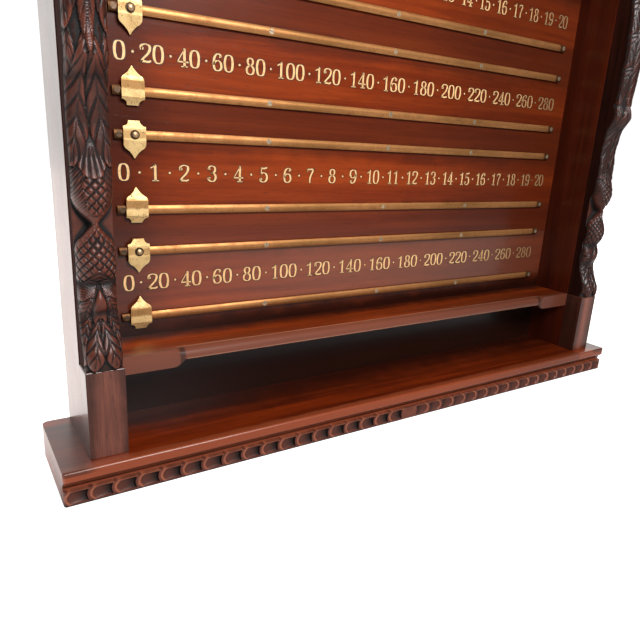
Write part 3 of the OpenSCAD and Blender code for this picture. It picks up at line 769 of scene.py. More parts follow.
@dataclass
class Studio:
    """The plain studio: camera, floor, soft lights and a white surround."""

    eye: tuple[float, float, float] = (-623.8, -735.3, 429.1)
    ahead: tuple[float, float, float] = (0.52771, 0.79997, -0.28560)
    upward: tuple[float, float, float] = (0.11273, 0.26730, 0.95700)
    lens: float = 33.057
    behind: float = 1.5
    around: float = 0.05
    backdrop: float = 1.75
    floor_edges: tuple[float, float, float, float] = (-5000, 5000, -1700, 7000)
    floor_height: float = -0.5

    def build(self) -> None:
        """Builds the whole studio."""
        self.set_camera()
        self.lay_floor()
        self.hang_softbox("key_softbox", (-0.1, -1.75, 1.6), (-0.05, 0.0, 0.25), (1.0, 0.7), 64.0)
        self.light_surround()
        bpy.context.scene.view_settings.view_transform = "Standard"

    def set_camera(self) -> None:
        """Stands the camera where the photograph was taken."""
        data = bpy.data.cameras.new("camera")
        data.sensor_width = 36.0
        data.lens = self.lens
        data.clip_start = 0.02
        data.clip_end = 60.0
        camera = stand("camera", data)
        back = -Vector(self.ahead).normalized()
        right = Vector(self.upward).cross(back).normalized()
        up = back.cross(right)
        turned = Matrix((right, up, back)).transposed().to_4x4()
        camera.matrix_world = Matrix.Translation(Vector(self.eye) * MM) @ turned
        bpy.context.scene.camera = camera

    def lay_floor(self) -> None:
        """Lays the pale floor, which glows white behind the board and on its left."""
        material, bench, shader, place = start_material("pale_floor")
        split = bench.put("ShaderNodeSeparateXYZ", {0: place}).outputs
        cloud = bench.noise(place, 1.5, 2.0).outputs[0]
        pale = bench.mix(cloud, (0.62, 0.62, 0.62, 1), (0.68, 0.68, 0.68, 1))
        near = bench.spread(split["Y"], -0.95, -0.35, 0.0, 0.6)
        seen = bench.put("ShaderNodeLightPath").outputs["Is Camera Ray"]
        beside = bench.spread(split["X"], -0.53, -0.57, 0.0, self.backdrop * 0.7)
        beside = bench.math("MULTIPLY", beside, bench.spread(split["Y"], -0.30, -0.08))
        far = bench.math("MAXIMUM", bench.spread(split["Y"], -0.22, 0.35, 0.0, self.backdrop), beside)
        bench.feed(shader, {"Base Color": bench.mix(near, pale, (0.32, 0.32, 0.32, 1)), "Roughness": 0.9,
                            "Emission Color": bench.mix(seen, (1, 0.9, 0.86, 1), (1, 1, 1, 1)),
                            "Emission Strength": bench.math("MAXIMUM", bench.part(seen, 0.93), far)})
        left, right, front, back = self.floor_edges
        corners = [(left, front), (right, front), (right, back), (left, back)]
        points = np.array([(x, y, self.floor_height) for x, y in corners])
        mesh_object("floor", points, [[0, 1, 2, 3]], material)

    def hang_softbox(self, name: str, place: tuple[float, float, float],
                     target: tuple[float, float, float], size: tuple[float, float],
                     power: float) -> None:
        """Hangs a large soft light.

        Args:
            name: The light's name.
            place: Where it hangs, in metres.
            target: What it points at, in metres.
            size: Its width and height in metres.
            power: Its power in watts.
        """
        data = bpy.data.lights.new(name, "AREA")
        data.shape = "RECTANGLE"
        data.size, data.size_y = size
        data.energy = power
        light = stand(name, data)
        light.location = place
        way = Vector(target) - Vector(place)
        light.rotation_euler = way.to_track_quat("-Z", "Y").to_euler()

    def light_surround(self) -> None:
        """Makes the surround soft white, and plain white where it is seen."""
        world = bpy.data.worlds.new("surround")
        world.use_nodes = True
        world.node_tree.nodes.clear()
        bench = Bench(world.node_tree)
        seen = bench.put("ShaderNodeLightPath").outputs["Is Camera Ray"]
        way = bench.put("ShaderNodeTexCoord").outputs["Generated"]
        way = bench.put("ShaderNodeSeparateXYZ", {0: way}).outputs["Y"]
        strength = bench.math("ADD", bench.spread(way, 0.0, 0.5, 0.0, self.behind), self.around)
        soft = bench.put("ShaderNodeBackground", {"Color": (1, 0.985, 0.96, 1), "Strength": strength})
        white = bench.put("ShaderNodeBackground", {"Color": (1, 1, 1, 1), "Strength": 1.05})
        mixed = bench.put("ShaderNodeMixShader", {0: seen, 1: soft.outputs[0], 2: white.outputs[0]})
        bench.put("ShaderNodeOutputWorld", {"Surface": mixed.outputs[0]})
        bpy.context.scene.world = world


# Plain woodwork


@dataclass
class Case:
    """The boards of the case, dressed where they stand."""

    ease: float = 0.7

    def dress(self) -> None:
        """Dresses every board with its wood and eases its edges."""
        finishes = {
            BASE_WOOD: ["base_board", "base_under_board"],
            PANEL_WOOD: ["score_panel"],
            SHELF_WOOD: ["chalk_shelf"],
            SIDE_WOOD: ["left_side_board", "right_side_board"],
            BLOCK_WOOD: ["left_plinth_block", "right_plinth_block"],
            TOP_WOOD: ["frieze_rail", "cornice_board", "cornice_moulding"],
            HIDDEN_WOOD: ["lower_batten", "middle_batten", "hanging_batten", "cornice_dowels"],
        }
        for wood, nodes in finishes.items():
            finish = wood.material()
            for node in nodes:
                dress_node(node, finish, 0.0 if node == "cornice_dowels" else self.ease)
                LOG.info("dressed %s", node)


# Carved strip


@dataclass
class RibbonStrip:
    """The carved strip under the base's nose: scooped units either side of a plain block."""

    width: float = 1072.0
    front: float = -74.0
    depth: float = 22.0
    height: float = 20.0
    fillet: float = 2.6
    upper_fillet: float = 1.2
    lip: float = 3.2
    lip_bend: float = 4.6
    foot_lean: float = 0.8
    corner: float = 5.0
    cut: float = 5.5
    unevenness: float = 1.6
    a_side: int = 18
    up_steps: int = 24

    @property
    def pitch(self) -> float:
        """Gives the width of one unit in millimetres."""
        return self.width / (2 * self.a_side + 1)

    def lip_line(self, x: np.ndarray, z: np.ndarray) -> tuple[np.ndarray, np.ndarray, np.ndarray]:
        """Gives where places on a unit lie from its curved lip.

        Args:
            x: Distance from the unit's outer edge, its lip.
            z: Height on the strip.

        Returns:
            How far each place is from mid height, where the scoop starts at its height, and how far
            along the scoop it is. The first and the last go from 0 to 1.
        """
        low, high = self.fillet, self.height - self.upper_fillet
        lean = np.clip(np.abs(2 * z - low - high) / (high - low), 0, 1)
        start = self.lip + self.lip_bend * lean ** 2
        return lean, start, np.clip((x - start) / (self.pitch - 1 - start), 0, 1)

    def cut_depth(self, x: np.ndarray, z: np.ndarray) -> np.ndarray:
        """Gives the depth of the gouge cut at places on a unit.

        Args:
            x: Distance from the unit's outer edge, its lip.
            z: Height on the strip.

        Returns:
            How far the face is cut back there.
        """
        lean, start, run = self.lip_line(x, z)
        entry = np.clip((x - start) / 1.6, 0, 1) ** 0.7
        bowl = (1 - lean ** 2.4) ** 0.55
        wall = np.clip((self.pitch - 0.4 - 2.4 * (1 - lean ** 2) - x) / 0.6, 0, 1)
        return self.cut * (0.3 + 0.7 * run ** 0.9) * entry * bowl * wall

    def rubbed(self, x: np.ndarray, z: np.ndarray, cut: np.ndarray) -> np.ndarray:
        """Gives the strip's painted light and shade at places on a unit.

        Args:
            x: Distance from the unit's outer edge, its lip.
            z: Height on the strip.
            cut: Depth of the cut there.

        Returns:
            Up to 0.8 on the lips, painted highlight; below 0 in the scoops and at the foot, painted shade.
        """
        lean, start, run = self.lip_line(x, z)
        # Painted highlights on the lip and the scoop's edges; painted shade along the scoop and at the foot
        lip = np.exp(-((x - start + 1.4) / 1.9) ** 2)
        arris = 0.45 * np.exp(-((lean - 0.97) / 0.09) ** 2) * (x > start)
        deep = np.where(cut > 0.4, 0.14 + 0.6 * run ** 2.4, 0.0)
        foot = 1.3 * np.exp(-(z / 1.7) ** 2)
        return 0.8 * np.clip(lip + arris, 0, 1) - deep - foot

    def unit(self, side: Side, finish: bpy.types.Material) -> bpy.types.Object:
        """Makes one scooped unit, from its outer edge at x = 0 inwards.

        Args:
            side: The end of the board that the unit is for.
            finish: The strip's material.

        Returns:
            The unit, as an object for the tree to copy.
        """
        back = self.front + self.depth
        bends = (0, self.lip - 0.6, self.lip + self.lip_bend, self.pitch - 3.8, self.pitch)
        xs = np.concatenate([np.linspace(a, b, n, endpoint=False) for a, b, n in
                             zip(bends, bends[1:], (3, 16, 16, 16))] + [[self.pitch]])
        face = np.linspace(self.fillet, self.height - self.upper_fillet, self.up_steps - 1)
        zs = np.concatenate([[0.0], face, [self.height]])
        x, z = np.meshgrid(xs, zs)
        cut = self.cut_depth(x, z)
        cut[:, -1] = 0.0
        cut[0, :] = cut[-1, :] = 0.0
        y = self.front + cut
        y[0, :] += self.foot_lean
        rows = [np.stack([xs, np.full_like(xs, back), np.zeros_like(xs)], -1)]
        rows += [np.stack(row, -1) for row in zip(x, y, z)]
        rows += [np.stack([xs, np.full_like(xs, back), np.full_like(xs, self.height)], -1)]
        points = np.concatenate(rows)
        points[:, 0] *= -side.value
        wide = len(xs)
        faces = []
        for j in range(len(rows) - 1):
            for i in range(wide - 1):
                a = j * wide + i
                quad = [a, a + 1, a + 1 + wide, a + wide]
                faces.append(quad if side is Side.LEFT else quad[::-1])
        piece = mesh_object(f"scoop_{side.name.lower()}", points, faces, finish, smooth=False)
        # The painted light and shade of the strip is kept on its points
        plain = np.full(wide, 0.2)
        keep_carve(piece, np.concatenate([plain, self.rubbed(x, z, cut).ravel(), plain]))
        return piece

    def tree(self) -> Tree:
        """Builds the tree that sets units in a row and makes their cuts slightly uneven.

        Returns:
            The tree.
        """
        tree = Tree("ribbon_run", {"Unit": "NodeSocketObject", "Count": "NodeSocketInt",
                                   "Start": "NodeSocketVector", "Step": "NodeSocketVector",
                                   "Unevenness": "NodeSocketFloat", "Front": "NodeSocketFloat",
                                   "Material": "NodeSocketMaterial"})
        bench, given = tree.bench, tree.given.outputs
        line = bench.put("GeometryNodeMeshLine", {"Count": given["Count"], "Start Location": given["Start"],
                                                  "Offset": given["Step"]}, mode="OFFSET")
        unit = bench.put("GeometryNodeObjectInfo", {"Object": given["Unit"]})
        set_out = bench.put("GeometryNodeInstanceOnPoints",
                            {"Points": line.outputs[0], "Instance": unit.outputs["Geometry"]})
        real = bench.put("GeometryNodeRealizeInstances", {"Geometry": set_out.outputs[0]})
        place = bench.put("GeometryNodeInputPosition").outputs[0]
        wander = bench.put("ShaderNodeTexNoise", {"Vector": place, "Scale": 60.0, "Detail": 1.0})
        sway = bench.swing(wander.outputs[0], given["Unevenness"])
        face = bench.put("ShaderNodeSeparateXYZ", {0: place}).outputs["Y"]
        cut = bench.put("ShaderNodeMapRange", {0: face, 1: given["Front"],
                                               2: bench.math("ADD", given["Front"], 0.003)})
        moved = bench.put("ShaderNodeCombineXYZ", {"Y": bench.math("MULTIPLY", sway, cut.outputs[0])})
        hewn = bench.put("GeometryNodeSetPosition", {"Geometry": real.outputs[0],
                                                     "Offset": moved.outputs[0]})
        tree.close(hewn.outputs[0])
        return tree

    def build(self) -> None:
        """Builds the strip and lets it stand for the plain one."""
        finish = CARVED_STRIP.material()
        tree = self.tree()
        parts = []
        for side in Side:
            unit = self.unit(side, finish)
            start = Vector((side.value * self.width / 2 * MM, 0, 0))
            step = Vector((-side.value * self.pitch * MM, 0, 0))
            host = bpy.data.meshes.new("strip_host")
            parts.append(tree.run(f"strip_{side.name.lower()}", host, Unit=unit, Count=self.a_side,
                                  Start=start, Step=step, Unevenness=self.unevenness * MM,
                                  Front=self.front * MM, Material=finish))
            bpy.data.objects.remove(unit)
        parts.append(self.centre_block(finish))
        piece = join_meshes("carved_ribbon_strip", parts)
        merge_points(piece)
        self.round_ends(piece)
        settle(piece, "case", "carved_mahogany", "base_carved_moulding")
        LOG.info("built %s", piece.name)

    def round_ends(self, piece: bpy.types.Object) -> None:
        """Rounds the strip's two front corners in plan.

        Args:
            piece: The strip.
        """
        for vertex in piece.data.vertices:
            reach = self.corner - (self.width / 2 - abs(vertex.co.x / MM))
            if reach > 0:
                bent = self.front + self.corner - math.sqrt(max(self.corner ** 2 - reach ** 2, 0))
                vertex.co.y = max(vertex.co.y, bent * MM)

    def centre_block(self, finish: bpy.types.Material) -> bpy.types.Object:
        """Makes the plain block in the middle, and the strip's two ends.

        Args:
            finish: The strip's material.

        Returns:
            The object.
        """
        half, back = self.pitch / 2, self.front + self.depth
        outline = [(back, 0.0), (self.front + self.foot_lean, 0.0), (self.front, self.fillet),
                   (self.front, self.height - self.fillet), (self.front, self.height),
                   (back, self.height)]
        points = [(x, y, z) for x in (-half, half) for y, z in outline]
        n = len(outline)
        faces = [[k, k + n, k + n + 1, k + 1] for k in range(n - 1)]
        for x in (-self.width / 2, self.width / 2):
            start = len(points)
            points += [(x, y, z) for y, z in outline]
            ring = list(range(start, start + n))
            faces.append(ring[::-1] if x < 0 else ring)
        piece = mesh_object("strip_middle", np.array(points), faces, finish, smooth=False)
        keep_carve(piece, np.full(len(points), 0.25))
        return piece


# Carved pilasters


def softened(values: np.ndarray, reach: tuple[int, int]) -> np.ndarray:
    """Smooths a field with two passes of a box filter.

    Args:
        values: The field, rows by columns.
        reach: Half width of the box in rows and in columns.

    Returns:
        The smoothed field.
    """
    out = values
    for _ in range(2):
        for axis, r in enumerate(reach):
            if r:
                pad = [(r + 1, r) if k == axis else (0, 0) for k in range(2)]
                total = np.cumsum(np.pad(out, pad, mode="edge"), axis=axis)
                high = np.take(total, range(2 * r + 1, total.shape[axis]), axis=axis)
                low = np.take(total, range(0, total.shape[axis] - 2 * r - 1), axis=axis)
                out = (high - low) / (2 * r + 1)
    return out


@dataclass(frozen=True)
class Leaf:
    """A veined leaf on the carving, from its stalk over a bend to its tip, as [across, height]."""

    stalk: Point
    bend: Point
    tip: Point
    width: float
    lift: float = 2.4
    edge: float = 1.0
    veins: float = 7.0
    vein_cut: float = 0.7
    belly: float = 0.45
    curl: float = 0.8
    rib: float = 0.9

    def lay(self, s: np.ndarray, h: np.ndarray, relief: np.ndarray) -> np.ndarray:
        """Lays the leaf over the relief.

        Args:
            s: Across places of the grid.
            h: Heights of the grid.
            relief: The relief so far.

        Returns:
            The relief with the leaf on it.
        """
        t = np.linspace(0, 1, 70)[:, None]
        path = ((1 - t) ** 2 * np.array(self.stalk) + 2 * t * (1 - t) * np.array(self.bend)
                + t ** 2 * np.array(self.tip))
        low, high = path.min(0) - self.width - 1, path.max(0) + self.width + 1
        near = (s > low[0]) & (s < high[0]) & (h > low[1]) & (h < high[1])
        if not near.any():
            return relief
        gaps = (s[near][:, None] - path[None, :, 0]) ** 2 + (h[near][:, None] - path[None, :, 1]) ** 2
        closest = gaps.argmin(1)
        along = t[closest, 0]
        off = np.sqrt(gaps[np.arange(len(closest)), closest])
        # The leaf swells to its belly and narrows to the tip; `aside` is 0 on its rib and 1 on its edge
        swell, taper = self.belly * 1.6, (1 - self.belly) * 1.6
        fullest = (swell / (swell + taper)) ** swell * (taper / (swell + taper)) ** taper
        wide = self.width * np.clip(along, 1e-4, 1) ** swell * np.clip(1 - along, 1e-4, 1) ** taper
        aside = off / np.maximum(wide / fullest, 0.05)
        phase = along * self.veins - 1.2 * aside
        vein = (0.5 + 0.5 * np.cos(2 * np.pi * phase)) ** 5 * np.clip(aside / 0.15, 0, 1)
        body = np.sqrt(np.clip(1 - aside ** 2, 0, 1))
        made = self.edge + self.lift * body * (0.55 + 0.45 * np.sin(np.pi * along)) + self.curl * along ** 3
        made -= self.rib * np.exp(-(off / 0.75) ** 2) * np.clip((1 - along) * 6, 0, 1)
        made -= self.vein_cut * vein
        out = relief.copy()
        out[near] = np.where(aside < 1, made, relief[near])
        return out


@dataclass
class CarvedPilaster:
    """A hanging of cones, leaves and a console, carved in front of a side board.

    The crown gives the depth of its middle at each height, and the girth its half width there.
    """

    side: Side
    middle: float = 477.0
    foot: float = 160.0
    back: float = -23.0
    half_width: float = 22.2
    height: float = 630.0
    ground: float = 14.0
    columns: int = 90
    rows: int = 1030
    crown: tuple[Point, ...] = (
        (0, 36), (4, 37), (11, 38), (17, 38), (25, 35.5), (34, 29.5), (43, 23.5), (53, 20.5), (63, 19.7),
        (69, 20.5), (74, 25), (81, 28), (85, 28.3), (95, 25), (103, 20), (109, 27), (116, 32), (122, 34),
        (130, 35.4), (136, 35), (145, 31.5), (153, 28), (163, 28.5), (178, 31.5), (191, 34), (197, 36.5),
        (204, 37), (214, 35.3), (221, 32.5), (228, 29), (236, 24.8), (243, 22), (260, 21.5), (278, 19.5),
        (288, 19.7), (297, 20.9), (306, 23), (315, 25), (324, 28), (333, 36), (344, 44), (355, 43),
        (365, 38), (380, 37), (400, 39), (440, 42), (480, 40.5), (510, 36.5), (535, 32.5), (545, 32),
        (560, 38), (590, 45), (612, 43.5), (630, 40))
    girth: tuple[Point, ...] = (
        (0, 29), (40, 27), (60, 24), (75, 21.5), (85, 22), (95, 22), (103, 21), (112, 22.5), (130, 23.2),
        (145, 21.8), (151, 20.5), (156, 16), (161, 11.5), (166, 7), (170, 4.2), (173, 4.2), (177, 8.5),
        (182, 13.5), (187, 17.5), (193, 20.5), (200, 22.3), (214, 23.2), (235, 25), (260, 27), (300, 27),
        (340, 28), (630, 28))
    upper_cone: Point = (176.0, 246.0)
    upper_cells: tuple[float, float, float] = (182.0, 240.0, 13.0)
    lower_cells: tuple[float, float, float] = (100.0, 172.0, 23.0)
    neck_ends: tuple[float, float, float, float] = (110.0, 116.0, 190.0, 200.0)
    feather_foot: float = 84.0
    scroll: Point = (596.0, 626.0)
    cell: Point = (9.0, 11.0)
    cell_lift: float = 2.2
    cell_round: float = 3.2
    cone_radius: float = 18.0
    hair_pitch: float = 2.5
    hair_lift: float = 1.9
    fan_apex: float = 266.0
    fan_spread: float = 0.52
    fan_length: float = 44.0
    chip: float = 0.22
    edge_angle: float = 0.98

    def grid(self) -> tuple[np.ndarray, np.ndarray]:
        """Lays out the grid, closer towards the edges.

        Returns:
            The across place and the height of every grid point.
        """
        u = np.linspace(-1, 1, self.columns + 1)
        turn = self.edge_angle
        across = self.half_width * np.sin(np.pi / 2 * u * turn) / math.sin(math.pi / 2 * turn)
        up = np.linspace(0, self.height, self.rows + 1)
        return np.meshgrid(across, up)

    def form(self, s: np.ndarray, h: np.ndarray) -> np.ndarray:
        """Gives the rounded form that the relief is cut on.

        Args:
            s: Across places of the grid.
            h: Heights of the grid.

        Returns:
            Its depth in front of the side board.
        """
        crown = softened(np.interp(h, *zip(*self.crown)), (4, 0))
        girth = softened(np.interp(h, *zip(*self.girth)), (3, 0))
        full = np.clip(1 - np.abs(s / girth) ** 2.3, 0, 1) ** 0.55
        return self.ground + (crown - self.ground) * full

    def lattice(self, s: np.ndarray, h: np.ndarray, low: float, high: float, reach: float) -> np.ndarray:
        """Gives the pillowed cells of a cone between two heights.

        Args:
            s: Across places of the grid.
            h: Heights of the grid.
            low: Where the cells start.
            high: Where they end.
            reach: How far they go to each side.

        Returns:
            The relief of the cells.
        """
        girth = np.interp(h, *zip(*self.girth))
        turn = np.clip(s / np.maximum(girth, self.cone_radius), -self.edge_angle, self.edge_angle)
        wrap = self.cone_radius * np.arcsin(turn)
        wide, tall = self.cell
        one = np.abs((wrap / wide + h / tall) % 1 - 0.5) * 2
        two = np.abs((wrap / wide - h / tall) % 1 - 0.5) * 2
        cell = 1 - np.maximum(one, two) ** self.cell_round
        inside = (h > low) & (h < high) & (np.abs(s) < reach)
        return np.where(inside, self.cell_lift * cell, 0.0)

    def hatching(self, s: np.ndarray, h: np.ndarray, lean: float, seed: int) -> np.ndarray:
        """Gives fine hair-like cuts that lean down and inwards.

        Args:
            s: Across places of the grid.
            h: Heights of the grid.
            lean: Their lean, in radians.
            seed: The seed of the waves in them.

        Returns:
            The relief of the cuts.
        """
        phases = np.random.default_rng(seed).uniform(0, 6, 3)
        waves = sum(np.sin(h / run + np.sign(s) * phase) for run, phase in zip((5.3, 8.9, 13.7), phases))
        way = np.abs(s) * math.cos(lean) + h * math.sin(lean) + 0.5 * waves
        strand = np.abs((way / self.hair_pitch) % 1 - 0.5) * 2
        patch = 0.75 + 0.25 * np.sin(way * 0.9 + h * 0.35)
        return self.hair_lift * (1 - strand ** 1.5) * patch

    def palmette(self, s: np.ndarray, h: np.ndarray, relief: np.ndarray) -> np.ndarray:
        """Lays the ribbed fan on the shoulders of the upper cone.

        Args:
            s: Across places of the grid.
            h: Heights of the grid.
            relief: The relief so far.

        Returns:
            The relief with the fan on it.
        """
        apex, spread = self.fan_apex, self.fan_spread
        reach = np.hypot(s, apex - h)
        angle = np.arctan2(s, apex - h)
        ribs = np.cos(angle / spread * np.pi * 2.5)
        rim = self.fan_length - 16.0 * np.abs(angle / spread) ** 2.2 + 1.0 * np.abs(ribs)
        inside = (np.abs(angle) < spread) & (reach < rim) & (h < apex)
        lift = 1.4 + 2.2 * np.sin(np.clip(reach / rim, 0, 1) * np.pi * 0.62)
        made = lift * (0.5 + 0.5 * np.abs(ribs) ** 0.5 * np.clip(reach / 14, 0, 1))
        return np.where(inside, made, relief)

    def leaves(self) -> list[Leaf]:
        """Lists the leaves of the hanging.

        Returns:
            The leaves, from the back ones to the front ones.
        """
        made = []
        for m in (-1, 1):
            made += [Leaf((m * 18, 372), (m * 24, 320), (m * 21, 250), 9, 2.2, 0.8, 7, 0.9, 0.55),
                     Leaf((m * 2, 376), (m * 9, 300), (m * 21, 233), 14.5, 3.0, 2.2, 6.5, 1.3, 0.62, 0.6)]
            made += [Leaf((m * 1, 104), (m * 14, 100), (m * 19, 84), 11, 1.8, 1.6, 11, 1.0, 0.6, 0.4, 0.3),
                     Leaf((m * 8, 88), (m * 16, 76), (m * 18, 48), 8.5, 2.0, 1.0, 6, 0.9, 0.5, 0.8)]
        made += [Leaf((0, 97), (0, 76), (0, 44), 8.5, 3.4, 1.8, 2, 0.0, 0.62, 0.4, 0.0)]
        for m in (-1, 1):
            made += [Leaf((m * 9, 66), (m * 23, 44), (m * 22, 8), 9.5, 2.8, 1.4, 5, 1.4, 0.55, 1.2),
                     Leaf((m * 1, 62), (m * 9, 34), (m * 13, 1), 10.5, 3.4, 2.0, 4.5, 1.5, 0.6, 1.4)]
        return made

    def console(self) -> list[Leaf]:
        """Lists the leaves of the console above the hanging.

        Returns:
            The leaves, from the back ones to the front one.
        """
        made = []
        for k in range(4):
            top = 600 - 56 * k
            for m in (-1, 1):
                made.append(Leaf((m * 3, top), (m * 22, top - 8), (m * 20, top - 66), 13, 3.2, 1.6, 5, 1.0,
                                 0.5, 1.8))
        made.append(Leaf((0, 572), (0, 450), (0, 342), 11.5, 3.6, 3.2, 12, 1.0, 0.5, 2.0))
        return made

    def relief(self, s: np.ndarray, h: np.ndarray) -> np.ndarray:
        """Cuts all the relief, from the back to the front.

        Args:
            s: Across places of the grid.
            h: Heights of the grid.

        Returns:
            The relief.
        """
        out = np.zeros_like(s)
        neck, shoulder = self.upper_cone
        upper = (h > neck) & (h < shoulder)
        out = np.where(upper, self.hatching(s, h, 0.62, 3), out)
        out = np.where(upper & (np.abs(s) < 12.5 - 0.14 * np.abs(h - 214)),
                       self.lattice(s, h, *self.upper_cells), out)
        split = 106 + 16 * np.clip(1 - np.abs(s) / 14, 0, 1)
        out = np.where((h > split) & (h <= neck), self.lattice(s, h, *self.lower_cells), out)
        feathers = self.hatching(s, h + 0.35 * np.abs(s), 1.35, 5)
        out = np.where((h > self.feather_foot) & (h <= split), feathers, out)
        out = self.palmette(s, h, out)
        for leaf in self.leaves() + self.console():
            out = leaf.lay(s, h, out)
        low, high = self.scroll
        rolls = 1.2 + 1.3 * np.abs(np.sin((h - low) / (high - low) * np.pi * 3))
        return np.where((h > low) & (h < high), rolls, out)

    def build(self, finish: bpy.types.Material, flank: bpy.types.Material) -> None:
        """Carves the pilaster and lets it stand for the plain one.

        Args:
            finish: The carving's material.
            flank: The material of its plain sides, dark and dull as painted shade.
        """
        s, h = self.grid()
        form = self.form(s, h)
        proud = np.clip((form - self.ground) / 5.0, 0, 1)
        # Away from the neck the leaves lie past the form, so there the relief keeps most of its height
        off_neck = np.interp(h, self.neck_ends, (1, 0, 0, 1))
        relief = self.relief(s, h) * np.maximum(proud, off_neck * 0.6)
        chance = np.random.default_rng(11)
        chips = softened(chance.normal(0, 1, s.shape), (2, 1)) * self.chip
        depth = form + relief + chips * (0.4 + 0.6 * proud)
        # The front part falls back a little at both edges
        edge = np.clip((self.half_width - np.abs(s)) / 1.6, 0, 1) ** 0.5
        depth = np.where(depth > 8, 8 + (depth - 8) * (0.86 + 0.14 * edge), depth)
        # The kept value darkens the cuts in the finish as painted shade, and is raised on the open ground
        open_ground = 1 - np.clip(3 * softened(proud, (8, 5)), 0, 1)
        carve = np.clip((depth - softened(depth, (6, 4))) / 1.3 + 0.5 * open_ground, -1, 1)
        end = self.side.name.lower()
        name = f"{end}_carving"
        piece = self.close(name, s, h, depth, carve, (finish, flank))
        settle(piece, "case", "carved_mahogany", f"{end}_carved_pilaster")
        LOG.info("carved %s with %d faces", name, len(piece.data.polygons))

    def close(self, name: str, s: np.ndarray, h: np.ndarray, depth: np.ndarray, carve: np.ndarray,
              finishes: tuple[bpy.types.Material, bpy.types.Material]) -> bpy.types.Object:
        """Closes the carved face with plain sides, back, head and foot.

        Args:
            name: The piece's name.
            s: Across places of the grid.
            h: Heights of the grid.
            depth: Depth in front of the side board.
            carve: The relief kept for the finish.
            finishes: The materials of the carving and of its plain sides, which are dark as painted shade.

        Returns:
            The closed piece.
        """
        rows, wide = s.shape
        ring = wide + 2
        points = np.zeros((rows, ring, 3))
        points[:, :wide, 0] = s
        points[:, :wide, 1] = -depth
        points[:, wide, 0], points[:, wide + 1, 0] = self.half_width, -self.half_width
        points[:, :, 2] = h[:, :1]
        points[:, :, 0] = points[:, :, 0] * -self.side.value + self.side.value * self.middle
        points[:, :, 1] += self.back
        points[:, :, 2] += self.foot
        j, i = np.meshgrid(np.arange(rows - 1), np.arange(ring), indexing="ij")
        a, b = j * ring + i, j * ring + (i + 1) % ring
        quads = np.stack([a, b, b + ring, a + ring], -1).reshape(-1, 4)
        caps = [list(range(ring))[::-1], [(rows - 1) * ring + k for k in range(ring)]]
        faces = quads.tolist() + caps
        if self.side is Side.RIGHT:
            faces = [face[::-1] for face in faces]
        piece = mesh_object(name, points.reshape(-1, 3), faces, finishes[0])
        piece.data.materials.append(finishes[1])
        plain = np.concatenate([np.tile(np.arange(ring) >= wide - 1, rows - 1), [True, True]])
        piece.data.polygons.foreach_set("material_index", plain.astype(np.int32))
        piece.data.polygons.foreach_set("use_smooth", ~plain)
        kept = np.zeros((rows, ring))
        kept[:, :wide] = carve
        keep_carve(piece, kept)
        return piece


# Painted numbers


@dataclass(frozen=True)
class Stroke:
    """One pull of the brush through points, broad where it runs upright."""

    points: tuple[Point, ...]
    broad: float = 1.6
    fine: float = 0.62
    closed: bool = False

    def path(self) -> np.ndarray:
        """Draws a smooth line through the stroke's points.

        Returns:
            The line's points, as x and z.
        """
        knots = np.array(self.points, float)
        if len(knots) == 2:
            return knots[0] + (knots[1] - knots[0]) * np.linspace(0, 1, 4)[:, None]
        if self.closed:
            knots = np.vstack([knots[-1], knots, knots[0], knots[1]])
        else:
            knots = np.vstack([2 * knots[0] - knots[1], knots, 2 * knots[-1] - knots[-2]])
        out = []
        for before, start, end, after in zip(knots, knots[1:], knots[2:], knots[3:]):
            t = np.linspace(0, 1, 7)[:-1, None]
            out.append(0.5 * (2 * start + (end - before) * t
                              + (2 * before - 5 * start + 4 * end - after) * t ** 2
                              + (3 * start - before - 3 * end + after) * t ** 3))
        out.append(knots[-2:-1])
        return np.vstack(out)

    def strip(self, grown: float, stretch: float) -> tuple[np.ndarray, list[list[int]]]:
        """Gives the stroke as a flat strip with round ends.

        Args:
            grown: How much wider the stroke is made all round.
            stretch: How much broader the numeral is drawn than its points say.

        Returns:
            The points as x and z, and the faces.
        """
        line = self.path() * (stretch, 1.0)
        way = np.gradient(line, axis=0)
        if self.closed:
            way[0] = way[-1] = line[1] - line[-2]
        way /= np.maximum(np.linalg.norm(way, axis=1, keepdims=True), 1e-9)
        half = self.fine + (self.broad - self.fine) * np.abs(way[:, 1]) ** 1.5 + grown
        side = np.stack([-way[:, 1], way[:, 0]], -1) * half[:, None]
        n = len(line)
        points = [*(line + side), *(line - side)]
        faces = [[k, k + n, k + n + 1, k + 1] for k in range(n - 1)]
        if not self.closed:
            for k, turn in ((0, 1), (n - 1, -1)):
                first = len(points)
                for a in np.linspace(0, np.pi, 7)[1:-1]:
                    spin = np.array([[math.cos(a), -math.sin(a)], [math.sin(a), math.cos(a)]])
                    points.append(line[k] + spin @ (side[k] * turn))
                ends = (k, k + n) if turn > 0 else (k + n, k)
                faces.append([ends[0], *range(first, len(points)), ends[1]])
        return np.array(points), faces


def ball(x: float, z: float, r: float) -> Stroke:
    """Makes a round spot of paint as a short closed stroke.

    Args:
        x: Its middle, across.
        z: Its middle, up.
        r: Its radius.

    Returns:
        The stroke.
    """
    turns = np.linspace(0, 2 * np.pi, 9)[:-1]
    corners = [(x + r / 2 * math.cos(a), z + r / 2 * math.sin(a)) for a in turns]
    return Stroke(tuple(corners), r / 2, r / 2, True)


